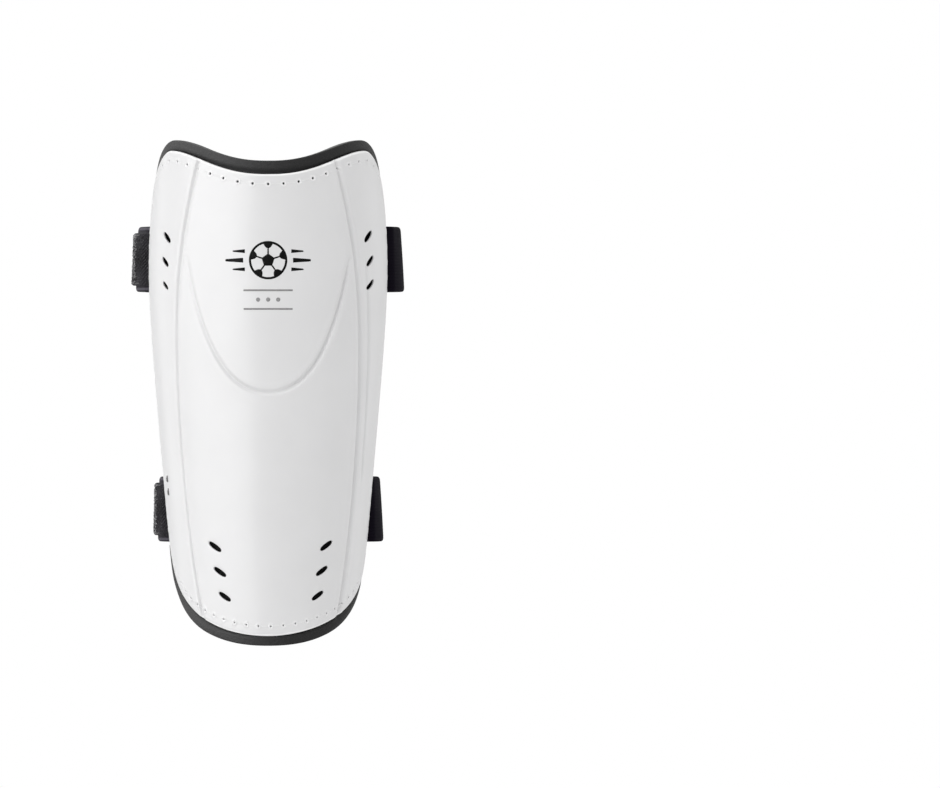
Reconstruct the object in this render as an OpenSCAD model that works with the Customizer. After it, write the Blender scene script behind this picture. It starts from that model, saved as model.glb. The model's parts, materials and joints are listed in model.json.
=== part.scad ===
// Shin guard. A curved hard shell is stitched to a padded liner. Two elastic straps run from the
// right edge round the calf, and their hook ends press onto loop tape on the left edge.
//
// Frame: +Z up along the shin, the front faces -Y, and +X is to the right seen from the front.
// Origin: centre of the lining's inner face, half way up. Millimetres.
// Heights called h are counted from the lower edge of the liner.
// Angles called phi run round the leg from the front line, positive to the right.

/* [Guard] */
// Height of the liner, from its lower edge to its upper ears
guard_h = 200; // [190:1:210]
// Width of the shell at its widest place
guard_w = 95; // [90:1:100]
// Depth of the shell, from its front line to its side edges
guard_depth = 47; // [43:1:50]
// Height of the widest place
widest_h = 150; // [140:1:155]
// Half width lost for each millimetre away from the widest place
taper_w = 0.093; // [0.07:0.001:0.1]
// Depth lost for each millimetre away from the widest place
taper_d = 0.045; // [0.02:0.001:0.06]

/* [Shell] */
// Thickness of the moulded shell
shell_t = 1.8; // [1.4:0.1:2.4]
// Angle from the front line to the shell's side edges
shell_wrap = 92; // [88:1:94]
// Height of the shell's lower edge at the front line
shell_low = 3.5; // [3:0.1:5]
// How far the shell's lower left corner sweeps up
shell_low_sweep = 53; // [48:1:60]
// How far the shell's lower right corner sweeps up
shell_right_sweep = 40; // [39:1:60]
// Height of the shell's upper edge at its dip
shell_dip = 186.7; // [180:0.1:190]
// Rise from the dip in the shell's upper edge to its ears
shell_rise = 9.6; // [7:0.1:11]
// How far the shell's ears round down to its side edges
shell_top_sweep = 34; // [24:1:40]
// Angle from the front line to the shell's ears
shell_ear = 60; // [50:1:64]

/* [Vents] */
// Length of an upper vent slot
vent_l = 6.5; // [5:0.1:8]
// Width of an upper vent slot at its middle
vent_w = 2.3; // [1.6:0.1:3]
// Slope of an upper vent slot, rising outwards
vent_tilt = 36; // [20:1:50]
// Length of a lower vent slot
low_vent_l = 6.9; // [5:0.1:8]
// Width of a lower vent slot at its middle
low_vent_w = 2.2; // [1.6:0.1:3]
// Slope of a lower vent slot, rising outwards
low_vent_tilt = 31; // [20:1:50]

/* [Liner] */
// Thickness of the foam
foam_t = 5; // [4:0.5:6]
// Width of foam past the shell's side edges
foam_margin = 4.6; // [3:0.2:6]
// Rise from the dip in the foam's upper edge to its ears
foam_rise = 8; // [7:0.1:10]
// How far the foam's ears round down to its side edges
foam_top_sweep = 42; // [36:1:48]
// How far the foam's lower corners sweep up
foam_low_sweep = 66; // [58:1:70]
// Angle from the front line to the foam's ears
foam_ear = 56.5; // [50:0.5:60]
// Thickness of the lining fabric
lining_t = 0.6; // [0.4:0.1:1]
// Space left for the glue between two layers
glue = 0.15; // [0.1:0.01:0.2]

/* [Straps] */
// Width of the elastic and of the webbing
strap_w = 26; // [22:1:28]
// Thickness of the elastic and of the webbing
strap_t = 1.4; // [1:0.1:1.8]
// Thickness of the loop tape with its pile
loop_t = 1.6; // [1.5:0.1:2.2]
// Width of the loop tape
loop_w = 21; // [20:0.5:22]
// Thickness of the hook tape
hook_t = 1.2; // [1:0.1:1.5]
// Width of the hook tape
hook_w = 17; // [15:0.5:18]
// Clearance between the hooks and the pile
hook_gap = 0.3; // [0.25:0.05:0.5]
// Height of the middle of the upper strap
upper_h = 153.4; // [145:0.1:158]
// Height of the middle of the lower strap
lower_h = 53.5; // [50:0.1:60]

/* [Stitches] */
// Thickness of the thread
thread_d = 0.6; // [0.4:0.1:0.8]
// Length from one stitch to the next round the shell
seam_pitch = 5.6; // [4:0.1:7]
// Length from one stitch to the next on the straps
tape_pitch = 4; // [3:0.1:5]

/* [Hidden] */

SHELL_WHITE = [0.94, 0.94, 0.95];
FOAM_GREY = [0.25, 0.25, 0.26];
LINING_GREY = [0.32, 0.32, 0.34];
ELASTIC_BLACK = [0.09, 0.08, 0.1];
WEBBING_GREY = [0.22, 0.21, 0.23];
TAPE_GREY = [0.3, 0.29, 0.31];
THREAD_WHITE = [0.88, 0.88, 0.88];
THREAD_GREY = [0.4, 0.4, 0.42];

// Length over which the taper turns round at the widest place
bow_soft = 25;
// Inset of each face from the outside of the shell
foam_in = shell_t + glue;
lining_in = foam_in + foam_t + glue;
seat_in = lining_in + lining_t;

function bow(h) = sqrt(pow(h - widest_h, 2) + pow(bow_soft, 2)) - bow_soft;
function half_w(h) = guard_w / 2 - taper_w * bow(h);
function depth(h) = guard_depth - taper_d * bow(h);
// The shell's side edges lie this far behind the seat on the shin
side_y = depth(guard_h / 2) - seat_in;
function skin_xy(phi, h, inset) =
    [(half_w(h) - inset) * sin(phi), side_y - (depth(h) - inset) * cos(phi)];
function raised(xy, h) = [xy[0], xy[1], h - guard_h / 2];
function skin(phi, h, inset) = raised(skin_xy(phi, h, inset), h);

// An outline is [wrap angle, lower edge, its sweep on the left, upper edge at its dip, upper sweep,
// rise to the ears, ear angle, power of the lower sweep on the left, lower sweep on the right and
// its power, power of the upper sweep]. A power is 2 for an ellipse, more for a squarer corner.
// Angle that a length covers round the leg
function as_phi(length) = length / guard_depth * 180 / PI;
foam_wrap = shell_wrap + as_phi(foam_margin);
foam_dip = guard_h - foam_rise;
shell_line = [shell_wrap, shell_low, shell_low_sweep, shell_dip, shell_top_sweep, shell_rise,
    shell_ear, 2, shell_right_sweep, 1.8, 1.7];
foam_line = [foam_wrap, 0, foam_low_sweep, foam_dip, foam_top_sweep, foam_rise, foam_ear, 2.2,
    foam_low_sweep, 2.2, 2];
// The lining stops short of the foam's edge
lining_in_edge = 0.5;
lining_line = foam_line + [-as_phi(lining_in_edge), lining_in_edge, 0, -lining_in_edge,
    0, 0, 0, 0, 0, 0, 0];
// The seam runs a constant way in from the shell's edge
seam_in = 3.9;
seam_line = shell_line + [-as_phi(seam_in), seam_in, -seam_in, -seam_in, -seam_in,
    0, 0, 0, -seam_in, 0, 0];
// Power of the curve from the dip up to the ears
ear_power = 2.4;

function round_drop(share, power) = 1 - pow(max(0, 1 - pow(abs(share), power)), 1 / power);
function low_edge(line, phi) = let (side = phi > 0 ? [line[8], line[9]] : [line[2], line[7]])
    line[1] + side[0] * round_drop(phi / line[0], side[1]);
function ear(line, phi) = pow(sin(min(abs(phi), line[6]) * 90 / line[6]), ear_power);
function past_ear(line, phi) = max(0, abs(phi) - line[6]) / (line[0] - line[6]);
function top_edge(line, phi) =
    line[3] + line[5] * ear(line, phi) - line[4] * round_drop(past_ear(line, phi), line[10]);

// Columns of points from one side edge to the other, closest together at the side edges
function columns(line, n) = [for (i = [-n:n]) line[0] * sin(90 * i / n)];
function grid(line, inset, n, rows) = [for (phi = columns(line, n))
    [for (j = [0:rows])
        skin(phi, low_edge(line, phi) + (top_edge(line, phi) - low_edge(line, phi)) * j / rows,
            inset)]];

// A closed sheet between two grids of points, outer[i][j] and inner[i][j]
module between(outer, inner) {
    ni = len(outer);
    nj = len(outer[0]);
    half = ni * nj;
    function o(i, j) = i * nj + j;
    function n(i, j) = half + i * nj + j;
    function quad(a, b, c, d) = [[a, b, c], [a, c, d]];
    points = [for (g = [outer, inner]) for (column = g) for (p = column) p];
    faces = [
        for (i = [0:ni - 2]) for (j = [0:nj - 2])
            each quad(o(i, j), o(i, j + 1), o(i + 1, j + 1), o(i + 1, j)),
        for (i = [0:ni - 2]) for (j = [0:nj - 2])
            each quad(n(i, j), n(i + 1, j), n(i + 1, j + 1), n(i, j + 1)),
        for (j = [0:nj - 2]) each quad(o(0, j + 1), o(0, j), n(0, j), n(0, j + 1)),
        for (j = [0:nj - 2])
            each quad(o(ni - 1, j), o(ni - 1, j + 1), n(ni - 1, j + 1), n(ni - 1, j)),
        for (i = [0:ni - 2]) each quad(o(i, 0), o(i + 1, 0), n(i + 1, 0), n(i, 0)),
        for (i = [0:ni - 2])
            each quad(o(i + 1, nj - 1), o(i, nj - 1), n(i, nj - 1), n(i + 1, nj - 1))];
    polyhedron(points, faces, convexity = 6);
}

// A straight stitch from p to q, kept clear of its neighbours by a share of its run at each end
stitch_gap = 0.13;
module stitch(p, q) {
    run = q - p;
    length = norm(run) * (1 - 2 * stitch_gap);
    translate(p + run * stitch_gap)
        rotate([0, acos(run[2] / norm(run)), atan2(run[1], run[0])])
            cylinder(h = length, d = thread_d, $fn = 6);
}

// Vents: three slots on each side at the top and at the bottom, as [phi, h, size]. The lower ones
// stand a little to the right, as the guard is shaped for one leg.
TOP_VENTS = [[57.8, 162.1, 1.08], [59.1, 152.4, 1], [59.6, 143, 0.95],
    [-58.5, 161.7, 1], [-59.7, 152, 0.92], [-59.7, 142.6, 0.76]];
LOW_VENTS = [[36.3, 39.3, 1], [34.1, 29.3, 0.965], [31.9, 19.5, 0.93],
    [-32, 39.3, 1], [-29.5, 29.3, 0.965], [-27, 19.5, 0.93]];
// Power of a slot's outline: 1 for an ellipse, less for fuller ends
vent_power = 0.85;
vent_step = 15;

function full(share) = sign(share) * pow(abs(share), vent_power);
module oval(length, width) {
    polygon([for (a = [0:vent_step:360 - vent_step])
        [length / 2 * full(cos(a)), width / 2 * full(sin(a))]]);
}

module vent(v, length, width, tilt) {
    mirror([v[0] < 0 ? 1 : 0, 0, 0])
        translate(skin(abs(v[0]), v[1], shell_t / 2))
            rotate([90, 0, abs(v[0])])
                rotate([0, 0, tilt])
                    linear_extrude(height = 4 * shell_t, center = true)
                        oval(length * v[2], width * v[2]);
}

// Cells of the sheets: round half the guard, then up each sheet
girth_cells = 22;
shell_cells = 26;
foam_cells = 22;
lining_cells = 18;

// A curved sheet that fills an outline, from one inset to another
module curved_sheet(line, from, to, cells) {
    between(grid(line, from, girth_cells, cells), grid(line, to, girth_cells, cells));
}

module shell() {
    color(SHELL_WHITE)
        difference() {
            curved_sheet(shell_line, 0, shell_t, shell_cells);
            for (v = TOP_VENTS) vent(v, vent_l, vent_w, vent_tilt);
            for (v = LOW_VENTS) vent(v, low_vent_l, low_vent_w, low_vent_tilt);
        }
}

module foam_liner() {
    color(FOAM_GREY)
        curved_sheet(foam_line, foam_in, foam_in + foam_t, foam_cells);
}

module lining_fabric() {
    color(LINING_GREY)
        curved_sheet(lining_line, lining_in, seat_in, lining_cells);
}

// The seam as one closed run of [phi, h]: lower edge, right side, upper edge, left side
seam_cells = 24;
side_cells = 12;
seam_run = let (c = columns(seam_line, seam_cells), s = seam_line[0], top = top_edge(seam_line, s),
        right = low_edge(seam_line, s), left = low_edge(seam_line, -s)) concat(
    [for (phi = c) [phi, low_edge(seam_line, phi)]],
    [for (k = [1:side_cells - 1]) [s, right + (top - right) * k / side_cells]],
    [for (phi = c) [-phi, top_edge(seam_line, phi)]],
    [for (k = [1:side_cells]) [-s, top + (left - top) * k / side_cells]]);
// Thread centres lie this far outside the face they are sewn to
thread_gap = 0.1;
thread_out = thread_d / 2 + thread_gap;
function seam_point(at) = skin(at[0], at[1], -thread_out);
seam_sum = [for (i = 0, s = 0; i < len(seam_run);
    s = s + (i < len(seam_run) - 1 ? norm(seam_point(seam_run[i + 1]) - seam_point(seam_run[i])) : 0),
    i = i + 1) s];
seam_length = seam_sum[len(seam_sum) - 1];
seam_phi = [for (i = [0:len(seam_run) - 1]) [seam_sum[i], seam_run[i][0]]];
seam_h = [for (i = [0:len(seam_run) - 1]) [seam_sum[i], seam_run[i][1]]];
function seam_at(s) = seam_point([lookup(s, seam_phi), lookup(s, seam_h)]);

module perimeter_stitching() {
    count = round(seam_length / seam_pitch);
    color(THREAD_WHITE)
        for (k = [0:count - 1])
            stitch(seam_at(k * seam_length / count), seam_at((k + 1) * seam_length / count));
}

// Each strap lies on a circle seen from above. A strap is [height of its middle, circle centre x,
// circle centre behind the side edges, inner radius of the loop tab, join angle].
// The join angle is where the run from the guard meets the circle, in front of its widest place.
UPPER = [upper_h, -1.6, 26.4, 49.5, 20];
LOWER = [lower_h, -1.45, 22.5, 41, 20];
// Angles on that circle, from the widest place on the right round the back
hook_from = 115;
hook_to = 155;
// Where the hook tape starts on the hook end, past the stitches at the end of the loop tape
hook_start = 9;
// The hook tape stops this far short of the hook end's end
hook_short = 1.5;
// The stitches on the hook tape run between these angles
hook_stitch_from = hook_from + hook_start + 1;
hook_stitch_to = hook_to - 2.5;
hook_corner_gap = 1;
loop_end = 62;
tape_end = loop_end - 2;
// The stitches on the loop tape run from this far past the join angle to this angle, and the rows
// along its sides stop this far short of the row across its end
tape_stitch_start = 2;
tape_stitch_end = loop_end - 3.2;
corner_gap = 0.8;
anchor_phis = [71, 77, 83, 88.5, 94];
// Columns of tacks that hold the sewn-in ends
tack_phis = [73.3, 79];
// Length from one stitch to the next in the tacks
tack_pitch = 4.6;
// Gap between two layers that lie on each other
layer_gap = 0.05;
// Thread lies this far in from the edge of the tape that it holds
loop_edge = 0.9;
hook_edge = 1;
// First point of the loop tape on its tab's run, clear of the shell's edge
loop_start = 8;
// Distance that a hinge line is kept clear of the pieces that don't turn on it
hinge_clear = 1.3;
// Cells across a band, cells in the bend where it leaves the guard, and angle of a cell round it
band_cells = 4;
bend_cells = 6;
arc_step = 3.5;

function loop_r(strap) = strap[3] + strap_t + layer_gap;
function hook_r(strap) = loop_r(strap) + loop_t + hook_gap;
function elastic_r(strap) = hook_r(strap) + hook_t + layer_gap;
function arc_angle(length, r) = length / r * 180 / PI;
// side is 1 on the right and -1 on the left, where x is mirrored
function circle_xy(strap, side, r, t) =
    [side * strap[1] + r * cos(t), side_y + strap[2] + r * sin(t)];
function bezier(a, b, c, d, u) =
    pow(1 - u, 3) * a + 3 * u * pow(1 - u, 2) * b + 3 * u * u * (1 - u) * c + pow(u, 3) * d;
// The run of a strap's face: under the shell's edge, out past it, then round the circle
function run_xy(strap, side, h, inset, r, to) =
    let (edge = anchor_phis[len(anchor_phis) - 1],
        a = skin_xy(edge, h, inset),
        d = circle_xy(strap, side, r, -strap[4]),
        pull = norm(d - a) / 3,
        b = a + pull * [cos(edge), sin(edge)],
        c = d - pull * [sin(strap[4]), cos(strap[4])],
        steps = ceil((to + strap[4]) / arc_step))
    concat([for (phi = anchor_phis) skin_xy(phi, h, inset)],
        [for (k = [1:bend_cells - 1]) bezier(a, b, c, d, k / bend_cells)],
        [for (k = [0:steps]) circle_xy(strap, side, r, -strap[4] + (to + strap[4]) * k / steps)]);
function from_index(list, start) = [for (i = [start:len(list) - 1]) list[i]];
// A grid of that face, from point number start to the angle to
function run_grid(strap, side, inset, r, to, width, start) =
    let (columns = [for (j = [0:band_cells])
            let (h = strap[0] - width / 2 + width * j / band_cells)
            [for (xy = from_index(run_xy(strap, side, h, inset, r, to), start)) raised(xy, h)]])
    [for (i = [0:len(columns[0]) - 1]) [for (j = [0:band_cells]) columns[j][i]]];

module root_band(strap, side, r, to) {
    inset = foam_in - layer_gap;
    between(run_grid(strap, side, inset, r + strap_t, to, strap_w, 0),
        run_grid(strap, side, inset + strap_t, r, to, strap_w, 0));
}

// A band on the strap's circle from angle a to angle b, round where it starts if nose is true
module arc_band(strap, r, thick, a, b, width, nose = false) {
    mid = r + thick / 2;
    steps = ceil((b - a) / arc_step);
    half = thick / 2;
    tip = nose ? [for (share = [-0.96, -0.75, -0.4]) [a + arc_angle(share * half, mid),
        half * sqrt(1 - share * share)]] : [];
    stations = concat(tip, [for (k = [0:steps]) [a + (b - a) * k / steps, half]]);
    function face(out) = [for (s = stations) [for (h = [-width / 2, width / 2])
        raised(circle_xy(strap, 1, mid + out * s[1], s[0]), strap[0] + h)]];
    between(face(1), face(-1));
}

module loop_tab(strap) {
    color(WEBBING_GREY)
        mirror([1, 0, 0]) root_band(strap, -1, strap[3], loop_end);
}

module loop_tape(strap) {
    inset = foam_in - strap_t - layer_gap;
    color(TAPE_GREY)
        mirror([1, 0, 0])
            between(run_grid(strap, -1, inset - loop_t, loop_r(strap) + loop_t, tape_end, loop_w,
                loop_start),
                run_grid(strap, -1, inset - layer_gap, loop_r(strap), tape_end, loop_w, loop_start));
}

// Stitches on a circle of radius r, from angle a to angle b, at height h
module arc_stitches(strap, side, r, a, b, h) {
    count = round((b - a) / arc_angle(tape_pitch, r));
    for (k = [0:count - 1])
        stitch(raised(circle_xy(strap, side, r, a + (b - a) * k / count), h),
            raised(circle_xy(strap, side, r, a + (b - a) * (k + 1) / count), h));
}

// Stitches up a strap at angle t, from height low to height high
module cross_stitches(strap, side, r, t, low, high) {
    count = round((high - low) / tape_pitch);
    xy = circle_xy(strap, side, r, t);
    for (k = [0:count - 1])
        stitch(raised(xy, low + (high - low) * k / count),
            raised(xy, low + (high - low) * (k + 1) / count));
}

module tape_stitching(strap) {
    r = loop_r(strap) + loop_t + thread_out;
    edge = loop_w / 2 - loop_edge;
    color(THREAD_GREY)
        mirror([1, 0, 0]) {
            for (h = [-edge, edge])
                arc_stitches(strap, -1, r, -strap[4] + tape_stitch_start, tape_stitch_end - corner_gap,
                    strap[0] + h);
            cross_stitches(strap, -1, r, tape_stitch_end, strap[0] - edge, strap[0] + edge);
        }
}

module elastic_root(strap) {
    color(ELASTIC_BLACK)
        root_band(strap, 1, elastic_r(strap), -arc_angle(hinge_clear, elastic_r(strap)));
}

// Bar tacks through the shell, over the sewn-in ends of the strap
module anchor_stitching(strap) {
    color(THREAD_GREY)
        for (side = [0, 1]) mirror([side, 0, 0])
            for (phi = tack_phis)
                for (k = [-2:1])
                    stitch(skin(phi, strap[0] + tack_pitch * k, -thread_out),
                        skin(phi, strap[0] + tack_pitch * (k + 1), -thread_out));
}

module elastic_band(strap) {
    r = elastic_r(strap);
    color(ELASTIC_BLACK)
        arc_band(strap, r, strap_t, 0, hook_from - arc_angle(hinge_clear, r), strap_w, true);
}

module hook_tab(strap) {
    color(WEBBING_GREY)
        arc_band(strap, elastic_r(strap), strap_t, hook_from, hook_to, strap_w, true);
}

module hook_tape(strap) {
    color(TAPE_GREY)
        arc_band(strap, hook_r(strap), hook_t, hook_from + hook_start, hook_to - hook_short,
            hook_w);
}

module hook_stitching(strap) {
    r = elastic_r(strap) + strap_t + thread_out;
    edge = hook_w / 2 - hook_edge;
    color(THREAD_GREY) {
        for (h = [-edge, edge])
            arc_stitches(strap, 1, r, hook_stitch_from + hook_corner_gap,
                hook_stitch_to - hook_corner_gap, strap[0] + h);
        for (t = [hook_stitch_from, hook_stitch_to])
            cross_stitches(strap, 1, r, t, strap[0] - edge, strap[0] + edge);
    }
}

shell();
foam_liner();
lining_fabric();
perimeter_stitching();

loop_tab(UPPER);  // upper_loop_tab
loop_tape(UPPER);  // upper_loop_tape
tape_stitching(UPPER);  // upper_tape_stitching
elastic_root(UPPER);  // upper_elastic_root
anchor_stitching(UPPER);  // upper_anchor_stitching
elastic_band(UPPER);  // upper_elastic_band
hook_tab(UPPER);  // upper_hook_tab
hook_tape(UPPER);  // upper_hook_tape
hook_stitching(UPPER);  // upper_hook_stitching

loop_tab(LOWER);  // lower_loop_tab
loop_tape(LOWER);  // lower_loop_tape
tape_stitching(LOWER);  // lower_tape_stitching
elastic_root(LOWER);  // lower_elastic_root
anchor_stitching(LOWER);  // lower_anchor_stitching
elastic_band(LOWER);  // lower_elastic_band
hook_tab(LOWER);  // lower_hook_tab
hook_tape(LOWER);  // lower_hook_tape
hook_stitching(LOWER);  // lower_hook_stitching
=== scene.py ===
import json
import math

import bpy
import numpy as np
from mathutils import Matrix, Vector, kdtree
from mathutils.geometry import delaunay_2d_cdt


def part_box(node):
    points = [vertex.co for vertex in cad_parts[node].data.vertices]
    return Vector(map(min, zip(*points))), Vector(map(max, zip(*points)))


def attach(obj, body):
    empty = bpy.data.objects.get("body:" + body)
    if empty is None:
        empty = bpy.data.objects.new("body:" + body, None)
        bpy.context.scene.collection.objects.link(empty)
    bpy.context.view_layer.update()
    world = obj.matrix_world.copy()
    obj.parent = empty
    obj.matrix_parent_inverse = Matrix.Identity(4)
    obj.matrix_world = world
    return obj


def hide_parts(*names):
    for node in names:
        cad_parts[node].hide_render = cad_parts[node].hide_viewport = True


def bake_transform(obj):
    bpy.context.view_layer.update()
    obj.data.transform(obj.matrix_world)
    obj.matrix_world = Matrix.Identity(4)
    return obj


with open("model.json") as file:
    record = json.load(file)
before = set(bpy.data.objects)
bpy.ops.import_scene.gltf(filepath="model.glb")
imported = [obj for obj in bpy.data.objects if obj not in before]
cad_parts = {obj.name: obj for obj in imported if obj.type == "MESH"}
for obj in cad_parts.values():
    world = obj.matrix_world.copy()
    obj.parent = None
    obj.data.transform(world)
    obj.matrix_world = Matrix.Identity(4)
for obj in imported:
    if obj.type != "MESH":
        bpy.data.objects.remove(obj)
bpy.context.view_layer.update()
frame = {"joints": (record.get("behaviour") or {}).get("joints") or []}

MM = 0.001
rng = np.random.default_rng(7)


# ---- the guard's surface
# The same curved surface as the design: phi runs round the leg from the front line, in radians,
# h is the height above the liner's lower edge, and inset is the depth below the shell's outside.

shell_low, shell_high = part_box("shell")
foam_low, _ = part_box("foam_liner")
HALF_W = (shell_high.x - shell_low.x) / 2
DEPTH = 47 * MM
# Flat coordinates: s = phi * R0 along the girth, and h up. R0 is the girth's usual radius.
R0 = DEPTH
SIDE_Y = shell_low.y + DEPTH
BASE_Z = foam_low.z
WIDEST_H = 150 * MM
TAPER_W, TAPER_D = 0.093, 0.045
BOW_SOFT = 25 * MM
SHELL_T = 1.8 * MM
GLUE = 0.15 * MM
FOAM_T = 5 * MM
LINING_T = 0.6 * MM
FOAM_IN = SHELL_T + GLUE
LINING_IN = FOAM_IN + FOAM_T + GLUE
GRID_TOP = 201 * MM


def bow(h):
    return np.hypot(h - WIDEST_H, BOW_SOFT) - BOW_SOFT


def half_w(h):
    return HALF_W - TAPER_W * bow(h)


def depth(h):
    return DEPTH - TAPER_D * bow(h)


def skin(phi, h, inset):
    """Points of the guard's surface, one row for each phi, h and inset."""
    phi, h, inset = np.broadcast_arrays(phi, h, inset)
    return np.column_stack([
        (half_w(h) - inset) * np.sin(phi),
        SIDE_Y - (depth(h) - inset) * np.cos(phi),
        h + BASE_Z,
    ])


class Line:
    """An outline of the guard: its wrap angle, lower edge, upper edge and rise to the ears, ear
    angle, and the (sweep, power) of its ears, lower left corner and lower right corner."""

    def __init__(self, wrap, low, top, rise, ear, ears, left, right):
        self.wrap, self.ear = math.radians(wrap), math.radians(ear)
        self.low, self.top, self.rise = low * MM, top * MM, rise * MM
        self.ears, self.left, self.right = ears, left, right

    def low_edge(self, phi):
        left, right = (sweep * MM * round_drop(phi / self.wrap, power)
                       for sweep, power in (self.left, self.right))
        return self.low + np.where(phi > 0, right, left)

    def covers(self, flat):
        """Whether flat points lie inside the outline."""
        phi, h = flat[:, 0] / R0, flat[:, 1]
        return (np.abs(phi) < self.wrap) & (h > self.low_edge(phi)) & (h < self.top_edge(phi))

    def top_edge(self, phi):
        share = np.minimum(np.abs(phi), self.ear) / self.ear
        past = np.maximum(0, np.abs(phi) - self.ear) / (self.wrap - self.ear)
        return (self.top + self.rise * np.sin(share * math.pi / 2) ** EAR_POWER
                - self.ears[0] * MM * round_drop(past, self.ears[1]))

    def loop(self, step):
        """Points round the outline, about step apart, as flat (s, h), anticlockwise."""
        phi = self.wrap * np.sin(np.linspace(-math.pi / 2, math.pi / 2, 600))
        low = np.column_stack([phi, self.low_edge(phi)])
        top = np.column_stack([-phi, self.top_edge(phi)])
        points = np.vstack([low, top])
        points[:, 0] *= R0
        return resample(points, step)


def round_drop(share, power):
    return 1 - np.maximum(0, 1 - np.minimum(np.abs(share), 1) ** power) ** (1 / power)


def as_deg(length):
    return math.degrees(length * MM / DEPTH)


EAR_POWER = 2.4
# How far the seam lies in from the shell's edge, in mm
SEAM_IN = 3.9
SHELL_LINE = Line(92, 3.5, 186.6, 9.6, 60.8, (36, 1.66), (53, 2), (40, 1.8))
LINER_CORNERS = (48, 1.9), (66, 2.22), (65, 2.22)
FOAM_LINE = Line(92 + as_deg(4.6), -0.35, 192, 8.4, 58.2, *LINER_CORNERS)
LINING_LINE = Line(92 + as_deg(4.1), 0.15, 191.5, 8.4, 58.2, *LINER_CORNERS)
SEAM_LINE = Line(92 - as_deg(SEAM_IN), 3.5 + SEAM_IN, 186.6 - SEAM_IN, 9.6, 60.8,
                 (36 - SEAM_IN, 1.66), (53 - SEAM_IN, 2), (40 - SEAM_IN, 1.8))


def girth_radius(h):
    """The radius round the leg at height h, for lengths measured along the girth."""
    return (half_w(h) + depth(h)) / 2


def resample(points, step):
    """A closed run of points, evenly spaced about step apart."""
    closed = np.vstack([points, points[:1]])
    gaps = np.linalg.norm(np.diff(closed, axis=0), axis=1)
    at = np.concatenate([[0], np.cumsum(gaps)])
    keep = np.concatenate([[True], gaps > 1e-9])
    at, closed = at[keep], closed[keep]
    count = max(8, round(at[-1] / step))
    where = np.arange(count) * at[-1] / count
    return np.column_stack([np.interp(where, at, closed[:, k]) for k in (0, 1)])


def smooth(x):
    x = np.clip(x, 0, 1)
    return x * x * (3 - 2 * x)


def bump(x, width):
    """A smooth hump: 1 at x = 0 and 0 beyond width either side."""
    return np.where(np.abs(x) < width, 0.5 + 0.5 * np.cos(np.pi * np.clip(x / width, -1, 1)), 0)


# ---- making meshes

def make_piece(name, points, faces, material, uv=None, tone=None):
    """A mesh object from arrays of points and faces. uv holds one (u, v) for each point, and the last
    argument one value for each point, a painted highlight that the material reads as a point attribute."""
    mesh = bpy.data.meshes.new(name)
    mesh.from_pydata(np.asarray(points).tolist(), [], faces)
    if tone is not None:
        mesh.attributes.new("tone", "FLOAT", "POINT").data.foreach_set("value", tone.astype(np.float32))
    if uv is not None:
        corners = np.zeros(len(mesh.loops), np.int32)
        mesh.loops.foreach_get("vertex_index", corners)
        layer = mesh.uv_layers.new(name="weave")
        layer.data.foreach_set("uv", np.asarray(uv, np.float32)[corners].ravel())
    mesh.validate()
    mesh.shade_smooth()
    obj = bpy.data.objects.new(name, mesh)
    bpy.context.scene.collection.objects.link(obj)
    obj.data.materials.append(material)
    return obj


def near_tree(points):
    tree = kdtree.KDTree(len(points))
    for i, p in enumerate(points):
        tree.insert((p[0], p[1], 0), i)
    tree.balance()
    return tree


def distances(tree, points):
    return np.array([tree.find((p[0], p[1], 0))[2] for p in points])


def inward(loop):
    """Unit normals on the left of a closed run of points."""
    along = np.roll(loop, -1, axis=0) - np.roll(loop, 1, axis=0)
    along /= np.linalg.norm(along, axis=1)[:, None]
    return np.column_stack([-along[:, 1], along[:, 0]])


def loop_area(loop):
    """The area in a closed run of points, negative if it turns clockwise."""
    x, y = loop[:, 0], loop[:, 1]
    return np.sum(x * np.roll(y, -1) - np.roll(x, -1) * y) / 2


def turned(loop, anticlockwise):
    return loop if (loop_area(loop) > 0) == anticlockwise else loop[::-1]


def fill(loops, spots):
    """Triangles over the first loop, less the others, through the spots. Answers the faces by number:
    the loops' points come first, then the spots."""
    points, edges, owner = [], [], []
    for k, loop in enumerate(loops):
        start = len(points)
        points += [Vector(p) for p in loop]
        edges += [(start + i, start + (i + 1) % len(loop)) for i in range(len(loop))]
        owner += [k] * len(loop)
    points += [Vector(p) for p in spots]
    owner = np.array(owner + [-1] * len(spots))
    _, _, faces, origin, _, _ = delaunay_2d_cdt(points, edges, [], 2, 1e-9)
    back = np.array([o[0] for o in origin])
    faces = back[np.array(faces)]
    own = owner[faces]
    in_hole = (own[:, 0] > 0) & (own[:, 0] == own[:, 1]) & (own[:, 1] == own[:, 2])
    return faces[~in_hole]


class Rim:
    """A closed edge of a plate. profile lists (distance in from the edge, depth share from 0 to 1)
    from the outer face to the inner one."""

    def __init__(self, loop, profile):
        self.loop, self.normal, self.profile = loop, inward(loop), profile

    def ring(self, k):
        return self.loop + self.normal * self.profile[k][0]


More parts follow.
